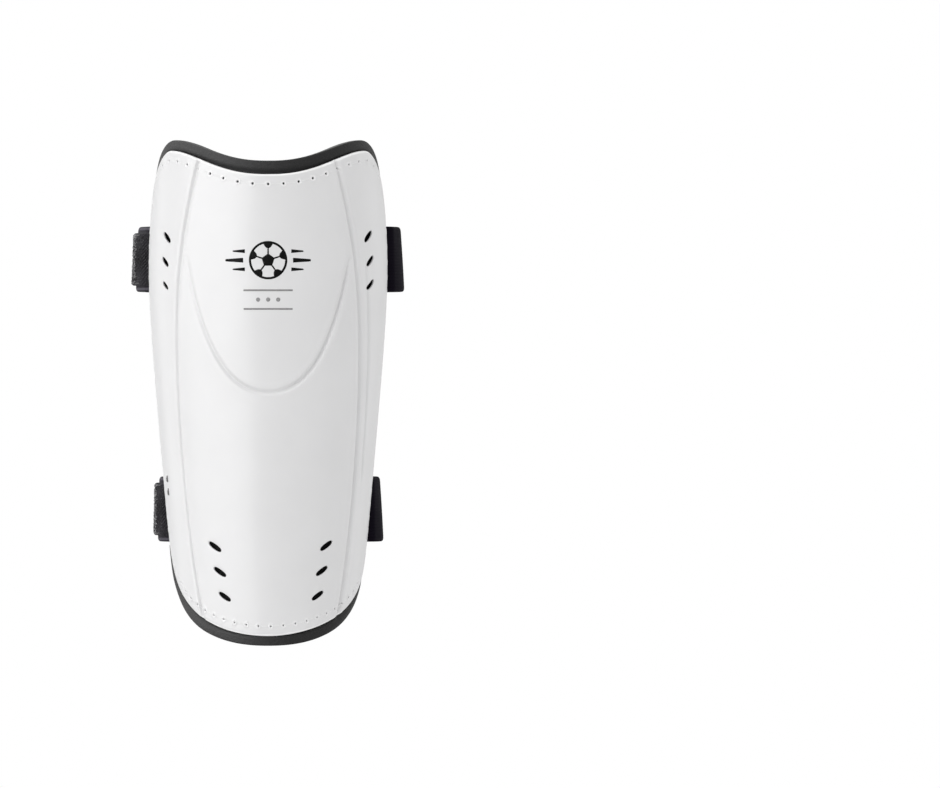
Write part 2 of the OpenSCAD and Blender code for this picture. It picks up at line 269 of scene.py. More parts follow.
def plate(name, material, rims, place, outer_spots, inner_spots, tone=None):
    """A closed sheet with shaped edges. rims are the outline and then the holes, place turns flat
    points and depth shares into points in space, and the spots are flat points inside."""
    flats, shares, faces, starts, count = [], [], [], [], 0
    for rim in rims:
        n = len(rim.loop)
        rings = [count + n * k for k in range(len(rim.profile))]
        flats += [rim.ring(k) for k in range(len(rings))]
        shares += [np.full(n, share) for _, share in rim.profile]
        for a, b in zip(rings, rings[1:]):
            faces += [(a + i, b + i, b + (i + 1) % n, a + (i + 1) % n) for i in range(n)]
        starts.append((rings[0], rings[-1]))
        count += n * len(rings)
    for side, spots in ((0, outer_spots), (1, inner_spots)):
        loops = [rim.ring(-side) for rim in rims]
        numbers = [np.arange(s[side], s[side] + len(loop)) for s, loop in zip(starts, loops)]
        numbers = np.concatenate([*numbers, np.arange(count, count + len(spots))])
        flats.append(spots)
        shares.append(np.full(len(spots), float(side)))
        count += len(spots)
        triangles = numbers[fill(loops, spots)]
        faces += (triangles[:, ::-1] if side else triangles).tolist()
    flats, shares = np.vstack(flats), np.concatenate(shares)
    shade = None if tone is None else tone(flats, shares)
    return make_piece(name, place(flats, shares), faces, material, uv=flats / MM, tone=shade)


def spread(line, spacing, rims, last=False, keep=None):
    """Flat points on a staggered grid inside an outline, clear of the rims' rings. last picks the
    inner face."""
    rows = np.arange(0, GRID_TOP, spacing * math.sqrt(0.75))
    reach = R0 * line.wrap
    grid = []
    for i, h in enumerate(rows):
        s = np.arange(-reach + (i % 2) * spacing / 2, reach, spacing)
        grid.append(np.column_stack([s, np.full(len(s), h)]))
    grid = np.vstack(grid)
    grid = grid[line.covers(grid)]
    if keep is not None:
        grid = grid[keep(grid)]
    return clear_of(grid, spacing * 0.6, rims, last)


def clear_of(points, gap, rims, last=False):
    rings = [rim.ring(-1 if last else 0) for rim in rims]
    tree = near_tree(np.vstack(rings))
    points = points[distances(tree, points) > gap]
    for ring in rings[1:]:
        centre = ring.mean(0)
        size = np.linalg.norm(ring - centre, axis=1).max()
        near = np.flatnonzero(np.linalg.norm(points - centre, axis=1) < size)
        points = np.delete(points, near[inside(ring, points[near])], axis=0)
    return points


def inside(loop, points):
    """Whether each point lies in a closed run, by counting crossings."""
    a, b = loop, np.roll(loop, -1, axis=0)
    x, y = points[:, :1], points[:, 1:]
    over = (a[:, 1] > y) != (b[:, 1] > y)
    with np.errstate(divide="ignore", invalid="ignore"):
        at = a[:, 0] + (y - a[:, 1]) * (b[:, 0] - a[:, 0]) / (b[:, 1] - a[:, 1])
    return ((over & (x < at)).sum(1) % 2) == 1


# ---- materials

class Look:
    """A material made of nodes, with the shader's even values set straight on its sockets."""

    def __init__(self, name, colour, roughness, **sockets):
        self.material = bpy.data.materials.new(name)
        self.material.use_nodes = True
        self.tree = self.material.node_tree
        self.shader = self.tree.nodes["Principled BSDF"]
        self.shader.inputs["Base Color"].default_value = (*colour, 1)
        self.shader.inputs["Roughness"].default_value = roughness
        for socket, value in sockets.items():
            self.shader.inputs[socket.replace("_", " ")].default_value = value
        self.normal = None

    def node(self, kind, settings=None, **inputs):
        n = self.tree.nodes.new("ShaderNode" + kind)
        for key, value in (settings or {}).items():
            setattr(n, key, value)
        for key, value in inputs.items():
            socket = n.inputs[int(key[1:])] if key[0] == "i" and key[1:].isdigit() else n.inputs[key]
            if isinstance(value, bpy.types.NodeSocket):
                self.tree.links.new(value, socket)
            else:
                socket.default_value = value
        return n

    def math(self, operation, a, b=0.0, c=0.0):
        return self.node("Math", {"operation": operation}, i0=a, i1=b, i2=c).outputs[0]

    def place(self):
        """Positions on the piece in millimetres."""
        coordinate = self.node("TexCoord").outputs["Object"]
        return self.node("Mapping", Vector=coordinate, Scale=(1 / MM,) * 3).outputs["Vector"]

    def weave(self):
        """The piece's own run and width coordinates in millimetres, as two values."""
        uv = self.node("UVMap", {"uv_map": "weave"}).outputs["UV"]
        split = self.node("SeparateXYZ", Vector=uv)
        return split.outputs["X"], split.outputs["Y"]

    def noise(self, scale, detail=2.0, roughness=0.5):
        return self.node("TexNoise", Vector=self.place(), Scale=scale, Detail=detail,
                         Roughness=roughness).outputs["Fac"]

    def ramp(self, value, *stops):
        """A ramp of greys. Each stop is (position, value) or (position, value, tint)."""
        n = self.node("ValToRGB", Fac=value)
        elements = n.color_ramp.elements
        while len(elements) < len(stops):
            elements.new(0.5)
        for element, (position, *shade) in zip(elements, stops):
            element.position = position
            element.color = (*grey(*shade), 1)
        return n.outputs["Color"]

    def paint(self, value, *stops):
        self.colour(self.ramp(value, *stops))

    def colour(self, socket):
        self.tree.links.new(socket, self.shader.inputs["Base Color"])

    def rough(self, value, low, high):
        ranged = self.node("MapRange", Value=value, **{"To Min": low, "To Max": high})
        self.tree.links.new(ranged.outputs[0], self.shader.inputs["Roughness"])

    def relief(self, height, distance, strength=1.0):
        """Adds a bump of that height in metres over any earlier one."""
        n = self.node("Bump", Height=height, Distance=distance, Strength=strength)
        if self.normal is not None:
            self.tree.links.new(self.normal, n.inputs["Normal"])
        self.normal = n.outputs["Normal"]
        self.tree.links.new(self.normal, self.shader.inputs["Normal"])


def grey(value, tint=0.0):
    """A neutral colour, a little violet for a positive tint."""
    return (value, value * (1 - tint / 2), value * (1 + tint))


def shell_look():
    """Moulded polypropylene, satin gloss, with a faint orange peel. A painted highlight whitens it round the
    needle holes and along its edge, standing in for light caught by the puckered holes and the rolled edge."""
    look = Look("shell_plastic", grey(0.69, 0.004), 0.3, Specular_IOR_Level=0.28,
                Coat_Weight=0.2, Coat_Roughness=0.2)
    body = look.ramp(look.noise(0.05, 3), (0.3, 0.68, 0.004), (0.7, 0.7, 0.004))
    # Painted highlight: the shell's colour is mixed towards near white by the mesh's highlight attribute,
    # round the needle holes and along the edge.
    highlight_mask = look.node("Attribute", {"attribute_name": "tone"}).outputs["Fac"]
    look.colour(look.node("Mix", {"data_type": "RGBA"}, i0=highlight_mask, i6=body, i7=(*grey(0.9), 1)).outputs[2])
    look.rough(look.noise(0.4, 4, 0.6), 0.33, 0.43)
    look.relief(look.noise(0.9, 3), 0.00001)
    look.relief(look.noise(6, 2), 0.000002)
    return look.material


def foam_look():
    """Closed-cell foam: matt, with fine open cells and paler specks."""
    look = Look("foam_cells", grey(0.02), 0.55, Specular_IOR_Level=0.3)
    specks = look.noise(2.6, 4, 0.75)
    look.paint(specks, (0.3, 0.002, 0.02), (0.52, 0.006, 0.02), (0.7, 0.025, 0.02))
    cells = look.node("TexVoronoi", {"feature": "F1"}, Vector=look.place(), Scale=1.9)
    look.relief(cells.outputs["Distance"], 0.00009)
    look.relief(specks, 0.00007)
    return look.material


def lining_look():
    """Brushed warp knit: fine ribs up the guard and a short nap."""
    look = Look("lining_knit", grey(0.07), 0.9, Sheen_Weight=0.3, Sheen_Roughness=0.5,
                Specular_IOR_Level=0.2)
    run, up = look.weave()
    wave = look.math("SINE", look.math("MULTIPLY", run, 2 * math.pi / 1.1))
    step = look.math("SINE", look.math("ADD", look.math("MULTIPLY", up, 2 * math.pi / 0.9),
                                       look.math("MULTIPLY", wave, 1.2)))
    loops = look.math("MULTIPLY", look.math("ABSOLUTE", wave), look.math("ADD", step, 1.6))
    nap = look.noise(2.2, 4, 0.7)
    look.paint(look.math("MULTIPLY_ADD", loops, 0.16, look.math("MULTIPLY", nap, 0.75)),
               (0.25, 0.03, 0.03), (0.55, 0.06, 0.03), (0.85, 0.1, 0.03))
    look.relief(loops, 0.00012)
    look.relief(nap, 0.00012)
    return look.material


# Width of one rib of each weave, in mm
ELASTIC_RIB, WEBBING_RIB = 1.25, 1.6


def band_pattern(look, rib, pick):
    """Woven ribs along a band, crossed by picks: a height from 0 to about 2."""
    run, across = look.weave()
    ribs = look.math("ABSOLUTE", look.math("SINE", look.math("MULTIPLY", across, math.pi / rib)))
    shift = look.math("MULTIPLY", look.math("FLOOR", look.math("DIVIDE", across, rib)), math.pi / 2)
    picks = look.math("ABSOLUTE", look.math("SINE", look.math("MULTIPLY_ADD", run, math.pi / pick, shift)))
    return look.math("ADD", ribs, look.math("MULTIPLY", ribs, picks))


def elastic_look():
    """Woven elastic: flat black yarn over rubber, ribbed along its run."""
    look = Look("elastic_weave", grey(0.004), 0.7, Specular_IOR_Level=0.02)
    pattern = band_pattern(look, ELASTIC_RIB, 0.75)
    fuzz = look.noise(3.2, 4, 0.7)
    look.paint(look.math("MULTIPLY_ADD", pattern, 0.3, look.math("MULTIPLY", fuzz, 0.5)),
               (0.2, 0.0042, 0.45), (0.6, 0.005, 0.45), (0.95, 0.0058, 0.45))
    look.relief(pattern, 0.00004)
    look.relief(fuzz, 0.00003)
    return look.material


def webbing_look():
    """Dark grey webbing with paler selvedges."""
    look = Look("webbing_weave", grey(0.02), 0.75, Specular_IOR_Level=0.09)
    _, across = look.weave()
    pattern = band_pattern(look, WEBBING_RIB, 1.1)
    fuzz = look.noise(2.8, 4, 0.7)
    off_band = look.math("ABSOLUTE", look.math("SUBTRACT", look.math("ABSOLUTE", across), 11.9))
    selvedge = look.node("MapRange", {"interpolation_type": "SMOOTHSTEP"}, Value=off_band,
                         **{"From Min": 0.9, "From Max": 0.4})
    shade = look.math("MULTIPLY_ADD", pattern, 0.16, look.math("MULTIPLY", fuzz, 0.4))
    shade = look.math("MULTIPLY_ADD", selvedge.outputs[0], 0.35, shade)
    look.paint(shade, (0.15, 0.01, 0.2), (0.5, 0.022, 0.2), (0.85, 0.09, 0.14))
    look.relief(pattern, 0.0002)
    look.relief(fuzz, 0.00006)
    return look.material


def pile_look():
    """Loop tape: matt nylon loops, with pale specks where they catch the light."""
    look = Look("loop_pile", grey(0.02), 0.8, Sheen_Weight=0.03, Sheen_Roughness=0.4,
                Specular_IOR_Level=0.12)
    specks = look.noise(3.4, 5, 0.8)
    run, across = look.weave()
    slant = look.math("MULTIPLY", look.math("ADD", run, look.math("MULTIPLY", across, 1.1)),
                      2 * math.pi / 1.7)
    shade = look.math("MULTIPLY_ADD", look.math("SINE", slant), 0.12, specks)
    look.paint(shade, (0.3, 0.003, 0.2), (0.5, 0.009, 0.2), (0.62, 0.026, 0.15), (0.78, 0.09, 0.05))
    look.relief(specks, 0.0001)
    return look.material


def loop_tip_look(name, dark, middle, light):
    """The loops that stand clear of the pile: bare nylon, paler than the dyed ground. Given very pale
    values, it paints a highlight.
    """
    look = Look(name, grey(middle), 0.45, Specular_IOR_Level=0.25)
    look.paint(look.noise(0.8, 3, 0.7), (0.35, dark, 0.05), (0.52, middle, 0.03), (0.7, light))
    return look.material


def hook_look():
    """Moulded nylon, dull black."""
    look = Look("hook_nylon", grey(0.018), 0.42, Specular_IOR_Level=0.3)
    look.paint(look.noise(1.4, 3), (0.3, 0.012, 0.03), (0.7, 0.024, 0.03))
    look.relief(look.noise(5, 2), 0.00002)
    return look.material


def thread_look(name, dark, light):
    """Twisted thread, shaded by its strands."""
    look = Look(name, grey(light), 0.6, Sheen_Weight=0.1, Specular_IOR_Level=0.25)
    fibre = look.noise(7, 3, 0.6)
    look.paint(fibre, (0.3, dark), (0.7, light))
    look.relief(fibre, 0.00003)
    return look.material


def ink_look(name, value):
    """Pad-printed ink: a thin even film, slightly duller than the shell."""
    look = Look(name, grey(value), 0.45, Specular_IOR_Level=0.07)
    look.paint(look.noise(2, 3), (0.3, value * 0.85), (0.7, value * 1.15))
    look.rough(look.noise(3, 2), 0.38, 0.5)
    return look.material


SHELL, FOAM, LINING = shell_look(), foam_look(), lining_look()
ELASTIC, WEBBING, PILE, HOOKS = elastic_look(), webbing_look(), pile_look(), hook_look()
LOOP_TIPS = loop_tip_look("loop_tips", 0.008, 0.03, 0.16)
# The very pale set of loop tips: a painted highlight for the loops at the outer edge of the tape's bend.
HIGHLIT_TIPS = loop_tip_look("worn_tips", 0.03, 0.28, 0.6)
THREAD_WHITE = thread_look("thread_white", 0.68, 0.8)
THREAD_GREY = thread_look("thread_grey", 0.08, 0.2)
INK_BLACK, INK_GREY = ink_look("ink_black", 0.002), ink_look("ink_grey", 0.27)


# ---- shell

# Vents as (degrees round the leg, height in mm, size), and each group's length, width and slope
TOP_VENTS = [(57.8, 162.1, 1.08), (59.1, 152.4, 1), (59.6, 143, 0.95),
             (-58.5, 161.7, 1), (-59.7, 152, 0.92), (-59.7, 142.6, 0.76)]
LOW_VENTS = [(36.3, 39.3, 1), (34.1, 29.3, 0.965), (31.9, 19.5, 0.93),
             (-32.7, 38.9, 1), (-30.1, 28.9, 0.965), (-27.5, 19.1, 0.93)]
VENT_GROUPS = [(TOP_VENTS, 6.5 * MM, 2.3 * MM, math.radians(36)),
               (LOW_VENTS, 6.9 * MM, 2.2 * MM, math.radians(31))]


def on_skin(centre, offsets):
    """Flat points for offsets in true length round and up from a flat centre."""
    scale = R0 / girth_radius(centre[1])
    return centre + offsets * np.array([scale, 1])


def vent_loops():
    """The flat outline of every vent: an oval with full ends, rising outwards."""
    a = np.linspace(0, 2 * math.pi, 400, endpoint=False)
    full = np.column_stack([np.sign(f) * np.abs(f) ** 0.85 for f in (np.cos(a), np.sin(a))])
    loops = []
    for vents, length, width, tilt in VENT_GROUPS:
        oval = full * np.array([length, width]) / 2
        turn = np.array([[math.cos(tilt), math.sin(tilt)], [-math.sin(tilt), math.cos(tilt)]])
        for degrees, height, size in vents:
            side = math.copysign(1, degrees)
            centre = np.array([math.radians(degrees) * R0, height * MM])
            outline = on_skin(centre, size * (oval @ turn) * np.array([side, 1]))
            loops.append(turned(resample(outline, 0.36 * MM), False))
    return loops


def seam_points():
    """The needle holes: flat points round the seam by true length, a little closer together along
    the lower edge, with one at the middle of the upper edge."""
    fine = SEAM_LINE.loop(0.4 * MM)
    closed = np.vstack([fine, fine[:1]])
    space = skin(closed[:, 0] / R0, closed[:, 1], 0)
    pitch = (5.0 + 1.2 * smooth(closed[1:, 1] / (180 * MM))) * MM
    at = np.concatenate([[0], np.cumsum(np.linalg.norm(np.diff(space, axis=0), axis=1) / pitch)])
    upper = closed[:, 1] > 100 * MM
    middle = at[np.argmin(np.abs(closed[:, 0]) + np.where(upper, 0, 1))]
    count = round(at[-1])
    where = (middle + np.arange(count) * at[-1] / count) % at[-1]
    return np.column_stack([np.interp(np.sort(where), at, closed[:, k]) for k in (0, 1)])


def hole_r(spot):
    """Radius of a needle hole: tighter along the lower edge and towards the ears."""
    open_up = smooth(spot[1] / WIDEST_H) * (1 - 0.75 * smooth((abs(spot[0]) - 24 * MM) / (24 * MM)))
    return (0.27 + 0.19 * open_up) * MM


class Groove:
    """A moulded line in the shell: a path that gives one flat coordinate as a function of the
    other, its half width and depth, where it fades out, and how much deeper its far end is."""

    def __init__(self, along, path, low, high, half, deep, ends, deeper=0.0):
        self.along, self.path, self.low, self.high = along, path, low, high
        self.half, self.deep, self.ends = half * MM, deep * MM, ends
        self.deeper = deeper

    def slope(self, a):
        step = 1e-4
        return (self.path(a + step) - self.path(a - step)) / (2 * step)

    def point(self, a, off):
        """Flat points at a along the line and off to its side."""
        slope = self.slope(a)
        length = np.hypot(1, slope)
        a, b = a - off * slope / length, self.path(a) + off / length
        return np.column_stack([b, a] if self.along == 1 else [a, b])

    def gap(self, flat):
        """Signed distance from the line."""
        a, b = flat[:, self.along], flat[:, 1 - self.along]
        return (b - self.path(a)) / np.hypot(1, self.slope(a))

    def near(self, flat, margin):
        """Whether each flat point lies among the groove's rows or within a margin of them."""
        a = flat[:, self.along] / MM
        beside = np.abs(self.gap(flat)) < ROW_REACH * self.half + margin
        return beside & (a > self.low) & (a < self.high)

    def height(self, flat):
        """How far the shell's face stands proud there: a groove with low lips."""
        gap = self.gap(flat)
        a = flat[:, self.along] / MM
        first, last, fade = self.ends
        strength = smooth((a - first) / fade) * (1 - smooth((a - last) / fade))
        strength = strength * (1 + self.deeper * (2 * (a - first) / (last - first) - 1))
        lips = bump(np.abs(gap) - 1.7 * self.half, 0.8 * self.half)
        return strength * self.deep * (0.16 * lips - bump(gap, self.half))


def left_ridge(h):
    """The left ridge, as distance round the girth at each height. It is widest below the middle."""
    u = (h / MM - 100) / 100
    return -np.radians(53.5 - 5.2 * u - 12.2 * u ** 2 + 2 * u ** 3 - 2.9 * u ** 4) * R0


def right_ridge(h):
    """The right ridge, which stands a little further round."""
    u = (h / MM - 100) / 100
    return np.radians(54.5 - 8 * u - 11.8 * u ** 2 + 1.9 * u ** 3 - 2.6 * u ** 4) * R0


def crest(s):
    """The U-shaped crest line, as a height at each distance round the girth."""
    d = np.degrees(s / R0)
    return (100.2 + 0.015 * d ** 2 + 7.2e-6 * d ** 4) * MM


CREST_END = math.radians(44) * R0 / MM
GROOVES = [
    Groove(1, left_ridge, 0, 200, 1.35, 1.2, (-5, 205, 1)),
    Groove(1, right_ridge, 0, 200, 1.5, 1.15, (-5, 205, 1)),
    Groove(1, lambda h: right_ridge(h) + 6 * MM, 58, 160, 1.2, 0.5, (60, 145, 12)),
    Groove(0, crest, -CREST_END, CREST_END, 1.35, 0.95, (-CREST_END, CREST_END - 3, 3), 0.42),
]
# Rows of points run along each groove as far to its sides as this many half widths
ROW_REACH = 1.5


def groove_rows():
    """Flat points in rows along the grooves, so that their sides come out clean."""
    rows = []
    for k, groove in enumerate(GROOVES):
        a = np.arange(groove.low, groove.high, 0.7) * MM
        for off in np.linspace(-ROW_REACH, ROW_REACH, 13) * groove.half:
            row = groove.point(a, off)
            for other in GROOVES[:k]:
                row = row[~other.near(row, 0.2 * MM)]
            rows.append(row)
    return np.vstack(rows)


# How high the plastic puckers round a needle hole, and how much thinner it is round a vent
PUCKER, VENT_THINNING = 0.17 * MM, 1.1 * MM
SEAM = seam_points()
seam_tree = near_tree(SEAM)


def shell_relief(flat):
    """How far the shell's outside stands proud: its moulded lines and its puckered needle holes."""
    gap = distances(seam_tree, flat)
    return sum(groove.height(flat) for groove in GROOVES) + PUCKER * bump(gap - 0.98 * MM, 0.6 * MM)


def shell_place(flat, share):
    """The shell is thinner round its vents."""
    fade = 1 - smooth(share * 1.6)
    near_vent = 1 - smooth((vent_gap(flat) - 4 * MM) / (2.5 * MM))
    inset = (SHELL_T - VENT_THINNING * near_vent) * share - shell_relief(flat) * fade
    return skin(flat[:, 0] / R0, flat[:, 1], inset)


def shell_painted_highlight(flat, share):
    """A painted highlight on the outer face: a ring round each needle hole, strongest near the middle and
    towards the top, and a line along the outer edge, for light caught by the puckers and the rolled edge.
    """
    middle = 1 - 0.8 * smooth((np.abs(flat[:, 0]) - 26 * MM) / (24 * MM))
    strength = middle * (0.32 + 0.25 * smooth(flat[:, 1] / WIDEST_H))
    rings = strength * bump(distances(seam_tree, flat) - 0.8 * MM, 0.55 * MM)
    edge = 1 - smooth((distances(shell_edge_tree, flat) - 0.35 * MM) / (0.6 * MM))
    return np.maximum(rings, edge) * (share < 0.5)


shell_edge_tree = near_tree(SHELL_LINE.loop(0.4 * MM))
VENTS = vent_loops()
vent_centres = np.array([loop.mean(0) for loop in VENTS])


def vent_gap(flat):
    """Distance to the middle of the nearest vent."""
    return np.linalg.norm(flat[:, None] - vent_centres[None], axis=2).min(1)


def make_shell():
    edge = [(0.9 * MM, 0), (0.45 * MM, 0.05), (0.14 * MM, 0.2), (0, 0.45), (0, 0.75), (0.12 * MM, 0.92),
            (0.4 * MM, 1)]
    slot_edge = [(0.3 * MM, 0), (0.1 * MM, 0.08), (0, 0.3), (0, 1)]
    pit = [(0.2 * MM, 0), (0.06 * MM, 0.05), (0, 0.2), (0, 1)]
    circle = np.linspace(0, -2 * math.pi, 14, endpoint=False)
    circle = np.column_stack([np.cos(circle), np.sin(circle)])
    rims = [Rim(turned(SHELL_LINE.loop(0.75 * MM), True), edge)]
    rims += [Rim(loop, slot_edge) for loop in VENTS]
    rims += [Rim(turned(on_skin(p, circle * hole_r(p)), False), pit) for p in SEAM]

    def by_groove(flat):
        return np.any([groove.near(flat, 0.5 * MM) for groove in GROOVES], axis=0)

    def near_hole(flat):
        return distances(seam_tree, flat) < 1.9 * MM

    coarse = spread(SHELL_LINE, 1.1 * MM, rims, keep=lambda f: ~by_groove(f) & ~near_hole(f))
    finest = spread(SHELL_LINE, 0.32 * MM, rims, keep=near_hole)
    rows = groove_rows()
    rows = clear_of(rows[SHELL_LINE.covers(rows) & ~near_hole(rows)], 0.25 * MM, rims)
    outer = np.vstack([coarse, rows, finest])
    inner = spread(SHELL_LINE, 3 * MM, rims, last=True)
    obj = plate("shell_moulding", SHELL, rims, shell_place, outer, inner, shell_painted_highlight)
    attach(obj, "guard")
    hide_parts("shell")


# ---- straps' numbers

STRAP_T = 1.4 * MM
LOOP_T = 1.6 * MM
HOOK_T = 1.2 * MM
HOOK_GAP = 0.3 * MM
LAYER = 0.05 * MM
# How deep the pile's base lies under the loop tape's face, and the thread's two radii
PILE_SINK = 0.35 * MM
THREAD_R, FINE_R = 0.22 * MM, 0.16 * MM
# Half the length of the seams that join the pull end to the elastic
LAP_HALF = 10.5 * MM
JOIN = math.radians(20)
HOOK_FROM, HOOK_TO, HOOK_START = math.radians(115), math.radians(155), math.radians(9)
LOOP_END = math.radians(62)
ANCHOR_PHI = np.radians(np.linspace(71, 94, 12))
STRAP_W, LOOP_W, HOOK_W = 26 * MM, 21 * MM, 17 * MM


class Strap:
    """One strap's circle seen from above, worked out from its two hinges."""

    def __init__(self, name):
        self.name = name
        swing, peel = (next(j for j in frame["joints"] if j["name"] == f"{name}_{which}")
                       for which in ("strap_swing", "hook_peel"))
        start, end = np.array(swing["pos_m"]), np.array(peel["pos_m"])
        self.elastic_r = (end[1] - start[1]) / math.sin(HOOK_FROM)
        self.centre = np.array([start[0] - self.elastic_r, start[1]])
        self.h = start[2] - BASE_Z
        self.z = self.h + BASE_Z
        # middle radii of the layers on the loop side
        self.hook_r = self.elastic_r - STRAP_T / 2 - LAYER - HOOK_T / 2
        self.loop_r = self.hook_r - HOOK_T / 2 - HOOK_GAP - LOOP_T / 2
        self.tab_r = self.loop_r - LOOP_T / 2 - LAYER - STRAP_T / 2

    def circle(self, side, r, t):
        """Points at angle t, with x mirrored if side is -1."""
        t = np.asarray(t, float)
        return np.column_stack([side * self.centre[0] + r * np.cos(t), self.centre[1] + r * np.sin(t)])


UPPER, LOWER = Strap("upper"), Strap("lower")


# ---- foam liner and lining

def near_straps(flat, margin):
    """1 where a strap's sewn-in end lies under the shell, 0 elsewhere, with a soft edge."""
    press = np.zeros(len(flat))
    for strap in (UPPER, LOWER):
        up = smooth((STRAP_W / 2 + margin - np.abs(flat[:, 1] - strap.h)) / (1.2 * MM))
        round_ = smooth((np.degrees(np.abs(flat[:, 0]) / R0) - 69) / 2)
        press = np.maximum(press, up * round_)
    return press


FOAM_RIM = turned(FOAM_LINE.loop(1.2 * MM), True)
foam_tree = near_tree(FOAM_RIM)


def foam_proud(flat):
    """The foam's outside: it swells where the shell doesn't hold it, most at the lower corners, and is
    pressed by the straps."""
    gap = distances(foam_tree, flat)
    swell = 1.15 * MM * smooth((4.7 * MM - gap) / (1.4 * MM))
    h = flat[:, 1] / MM
    corner = smooth((np.abs(flat[:, 0]) / R0 - 0.5) / 0.4)
    lip = np.where(flat[:, 0] < 0, (0.55 + 0.35 * smooth((h - 16) / 12)) * smooth((52 - h) / 12),
                   0.55 * smooth((34 - h) / 12))
    swell += lip * MM * corner * smooth((3.0 * MM - gap) / (1.2 * MM))
    pressed = near_straps(flat, 1 * MM)
    pits = 2.8 * MM * (1 - smooth((vent_gap(flat) - 3.6 * MM) / (1.5 * MM)))
    return swell * (1 - pressed) - 1.5 * MM * pressed - pits


# How far the seam draws the lining in
SEAM_DENT = 1.1 * MM


def seam_dent(flat):
    """How far the seam draws the lining in towards the shell, and the liner's thinned edge."""
    thinned = 2.2 * MM * (1 - smooth(distances(foam_tree, flat) / (5 * MM)))
    return np.maximum(SEAM_DENT * bump(distances(seam_fine_tree, flat), 3.2 * MM), thinned)


seam_fine_tree = near_tree(SEAM_LINE.loop(1 * MM))


def foam_place(flat, share):
    outer = FOAM_IN - foam_proud(flat)
    inner = FOAM_IN + FOAM_T - seam_dent(flat)
    return skin(flat[:, 0] / R0, flat[:, 1], outer + (inner - outer) * share)


def lining_place(flat, share):
    inset = LINING_IN - seam_dent(flat) + LINING_T * share
    return skin(flat[:, 0] / R0, flat[:, 1], inset)


def make_foam():
    edge = [(0.5 * MM, 0), (0.2 * MM, 0.012), (0.05 * MM, 0.04), (0, 0.08), (0, 0.3), (0.08 * MM, 0.55),
            (0.3 * MM, 0.74), (0.7 * MM, 0.89), (1.2 * MM, 0.97), (1.9 * MM, 1)]
    rims = [Rim(FOAM_RIM, edge)]
    margin = spread(FOAM_LINE, 0.9 * MM, rims, keep=lambda f: distances(foam_tree, f) < 9 * MM)
    middle = spread(FOAM_LINE, 2 * MM, rims, keep=lambda f: distances(foam_tree, f) >= 9 * MM)
    inner = spread(FOAM_LINE, 1.8 * MM, rims, last=True)
    obj = plate("foam_pad", FOAM, rims, foam_place, np.vstack([margin, middle]), inner)
    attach(obj, "guard")
    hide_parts("foam_liner")


def make_lining():
    edge = [(0.5 * MM, 0), (0.1 * MM, 0.2), (0, 0.5), (0.1 * MM, 0.8), (0.5 * MM, 1)]
    rims = [Rim(turned(LINING_LINE.loop(1.2 * MM), True), edge)]
    outer = spread(LINING_LINE, 2.2 * MM, rims)
    inner = spread(LINING_LINE, 1.2 * MM, rims, last=True)
    obj = plate("lining_knit", LINING, rims, lining_place, outer, inner)
    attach(obj, "guard")
    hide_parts("lining_fabric")
    flat_area = abs(loop_area(LINING_LINE.loop(1 * MM))) * (R0 - LINING_IN) / R0


# ---- bands, threads and pile

def bezier(a, b, c, d, u):
    u = u[:, None]
    return (1 - u) ** 3 * a + 3 * u * (1 - u) ** 2 * b + 3 * u * u * (1 - u) * c + u ** 3 * d


def run_xy(strap, side, h, inset, r, to, step=math.radians(1.6)):
    """A strap's middle line at height h: sewn in under the shell, out past its edge, round the
    circle to the angle to. inset and r are the line's depth there and its radius here."""
    sewn = skin(ANCHOR_PHI, h, inset)[:, :2]
    edge = ANCHOR_PHI[-1]
    a, d = sewn[-1], strap.circle(side, r, [-JOIN])[0]
    pull = np.linalg.norm(d - a) / 3
    b = a + pull * np.array([math.cos(edge), math.sin(edge)])
    c = d - pull * np.array([math.sin(JOIN), math.cos(JOIN)])
    bend = bezier(a, b, c, d, np.linspace(0, 1, 14)[1:-1])
    arc = strap.circle(side, r, np.linspace(-JOIN, to, max(2, round((to + JOIN) / step))))
    return np.vstack([sewn, bend, arc])


def ribbon_grid(strap, width, columns, line):
    """Middle points of a band: line(h) gives the run at a height. Answers points [i, j, xyz] and
    the matching unit outward normals. A left band is worked out as if it were on the right."""
    heights = strap.h + columns * width / 2
    runs = [line(h) for h in heights]
    points = np.stack([np.column_stack([run, np.full(len(run), h + BASE_Z)])
                       for run, h in zip(runs, heights)], axis=1)
    along = np.gradient(points, axis=0)
    up = np.gradient(points, axis=1)
    normals = np.cross(along, up)
    normals /= np.linalg.norm(normals, axis=2)[..., None]
    return points, normals


def run_lengths(points):
    """Distance along a band's middle column."""
    middle = points[:, points.shape[1] // 2]
    return np.concatenate([[0], np.cumsum(np.linalg.norm(np.diff(middle, axis=0), axis=1))])


# Radius of a band's rounded sides
ROUND_SIDE = 0.5 * MM
MIRROR = np.array([-1, 1, 1])


def band(name, material, points, normals, thick, columns, width, round_edge=ROUND_SIDE,
         relief=None, mirrored=False):
    """A closed band about its middle points, with rounded sides. columns run from -1 to 1 across
    it, and relief(run, across) is how far its outer face stands proud there."""
    run = run_lengths(points)
    from_side = (1 - np.abs(columns)) * width / 2
    half = thick / 2 * np.sqrt(1 - np.clip(1 - from_side / round_edge, 0, 1) ** 2)
    u, v = np.meshgrid(run, columns * width / 2, indexing="ij")
    outer = np.broadcast_to(half, u.shape).copy()
    if relief is not None:
        outer += relief(u, v)
    front = points + normals * outer[..., None]
    back = points + normals * np.broadcast_to(-half, u.shape)[..., None]
    if mirrored:
        front, back = front * MIRROR, back * MIRROR
    return sheet_mesh(name, material, front, back, np.stack([u, v], axis=-1) / MM, mirrored)


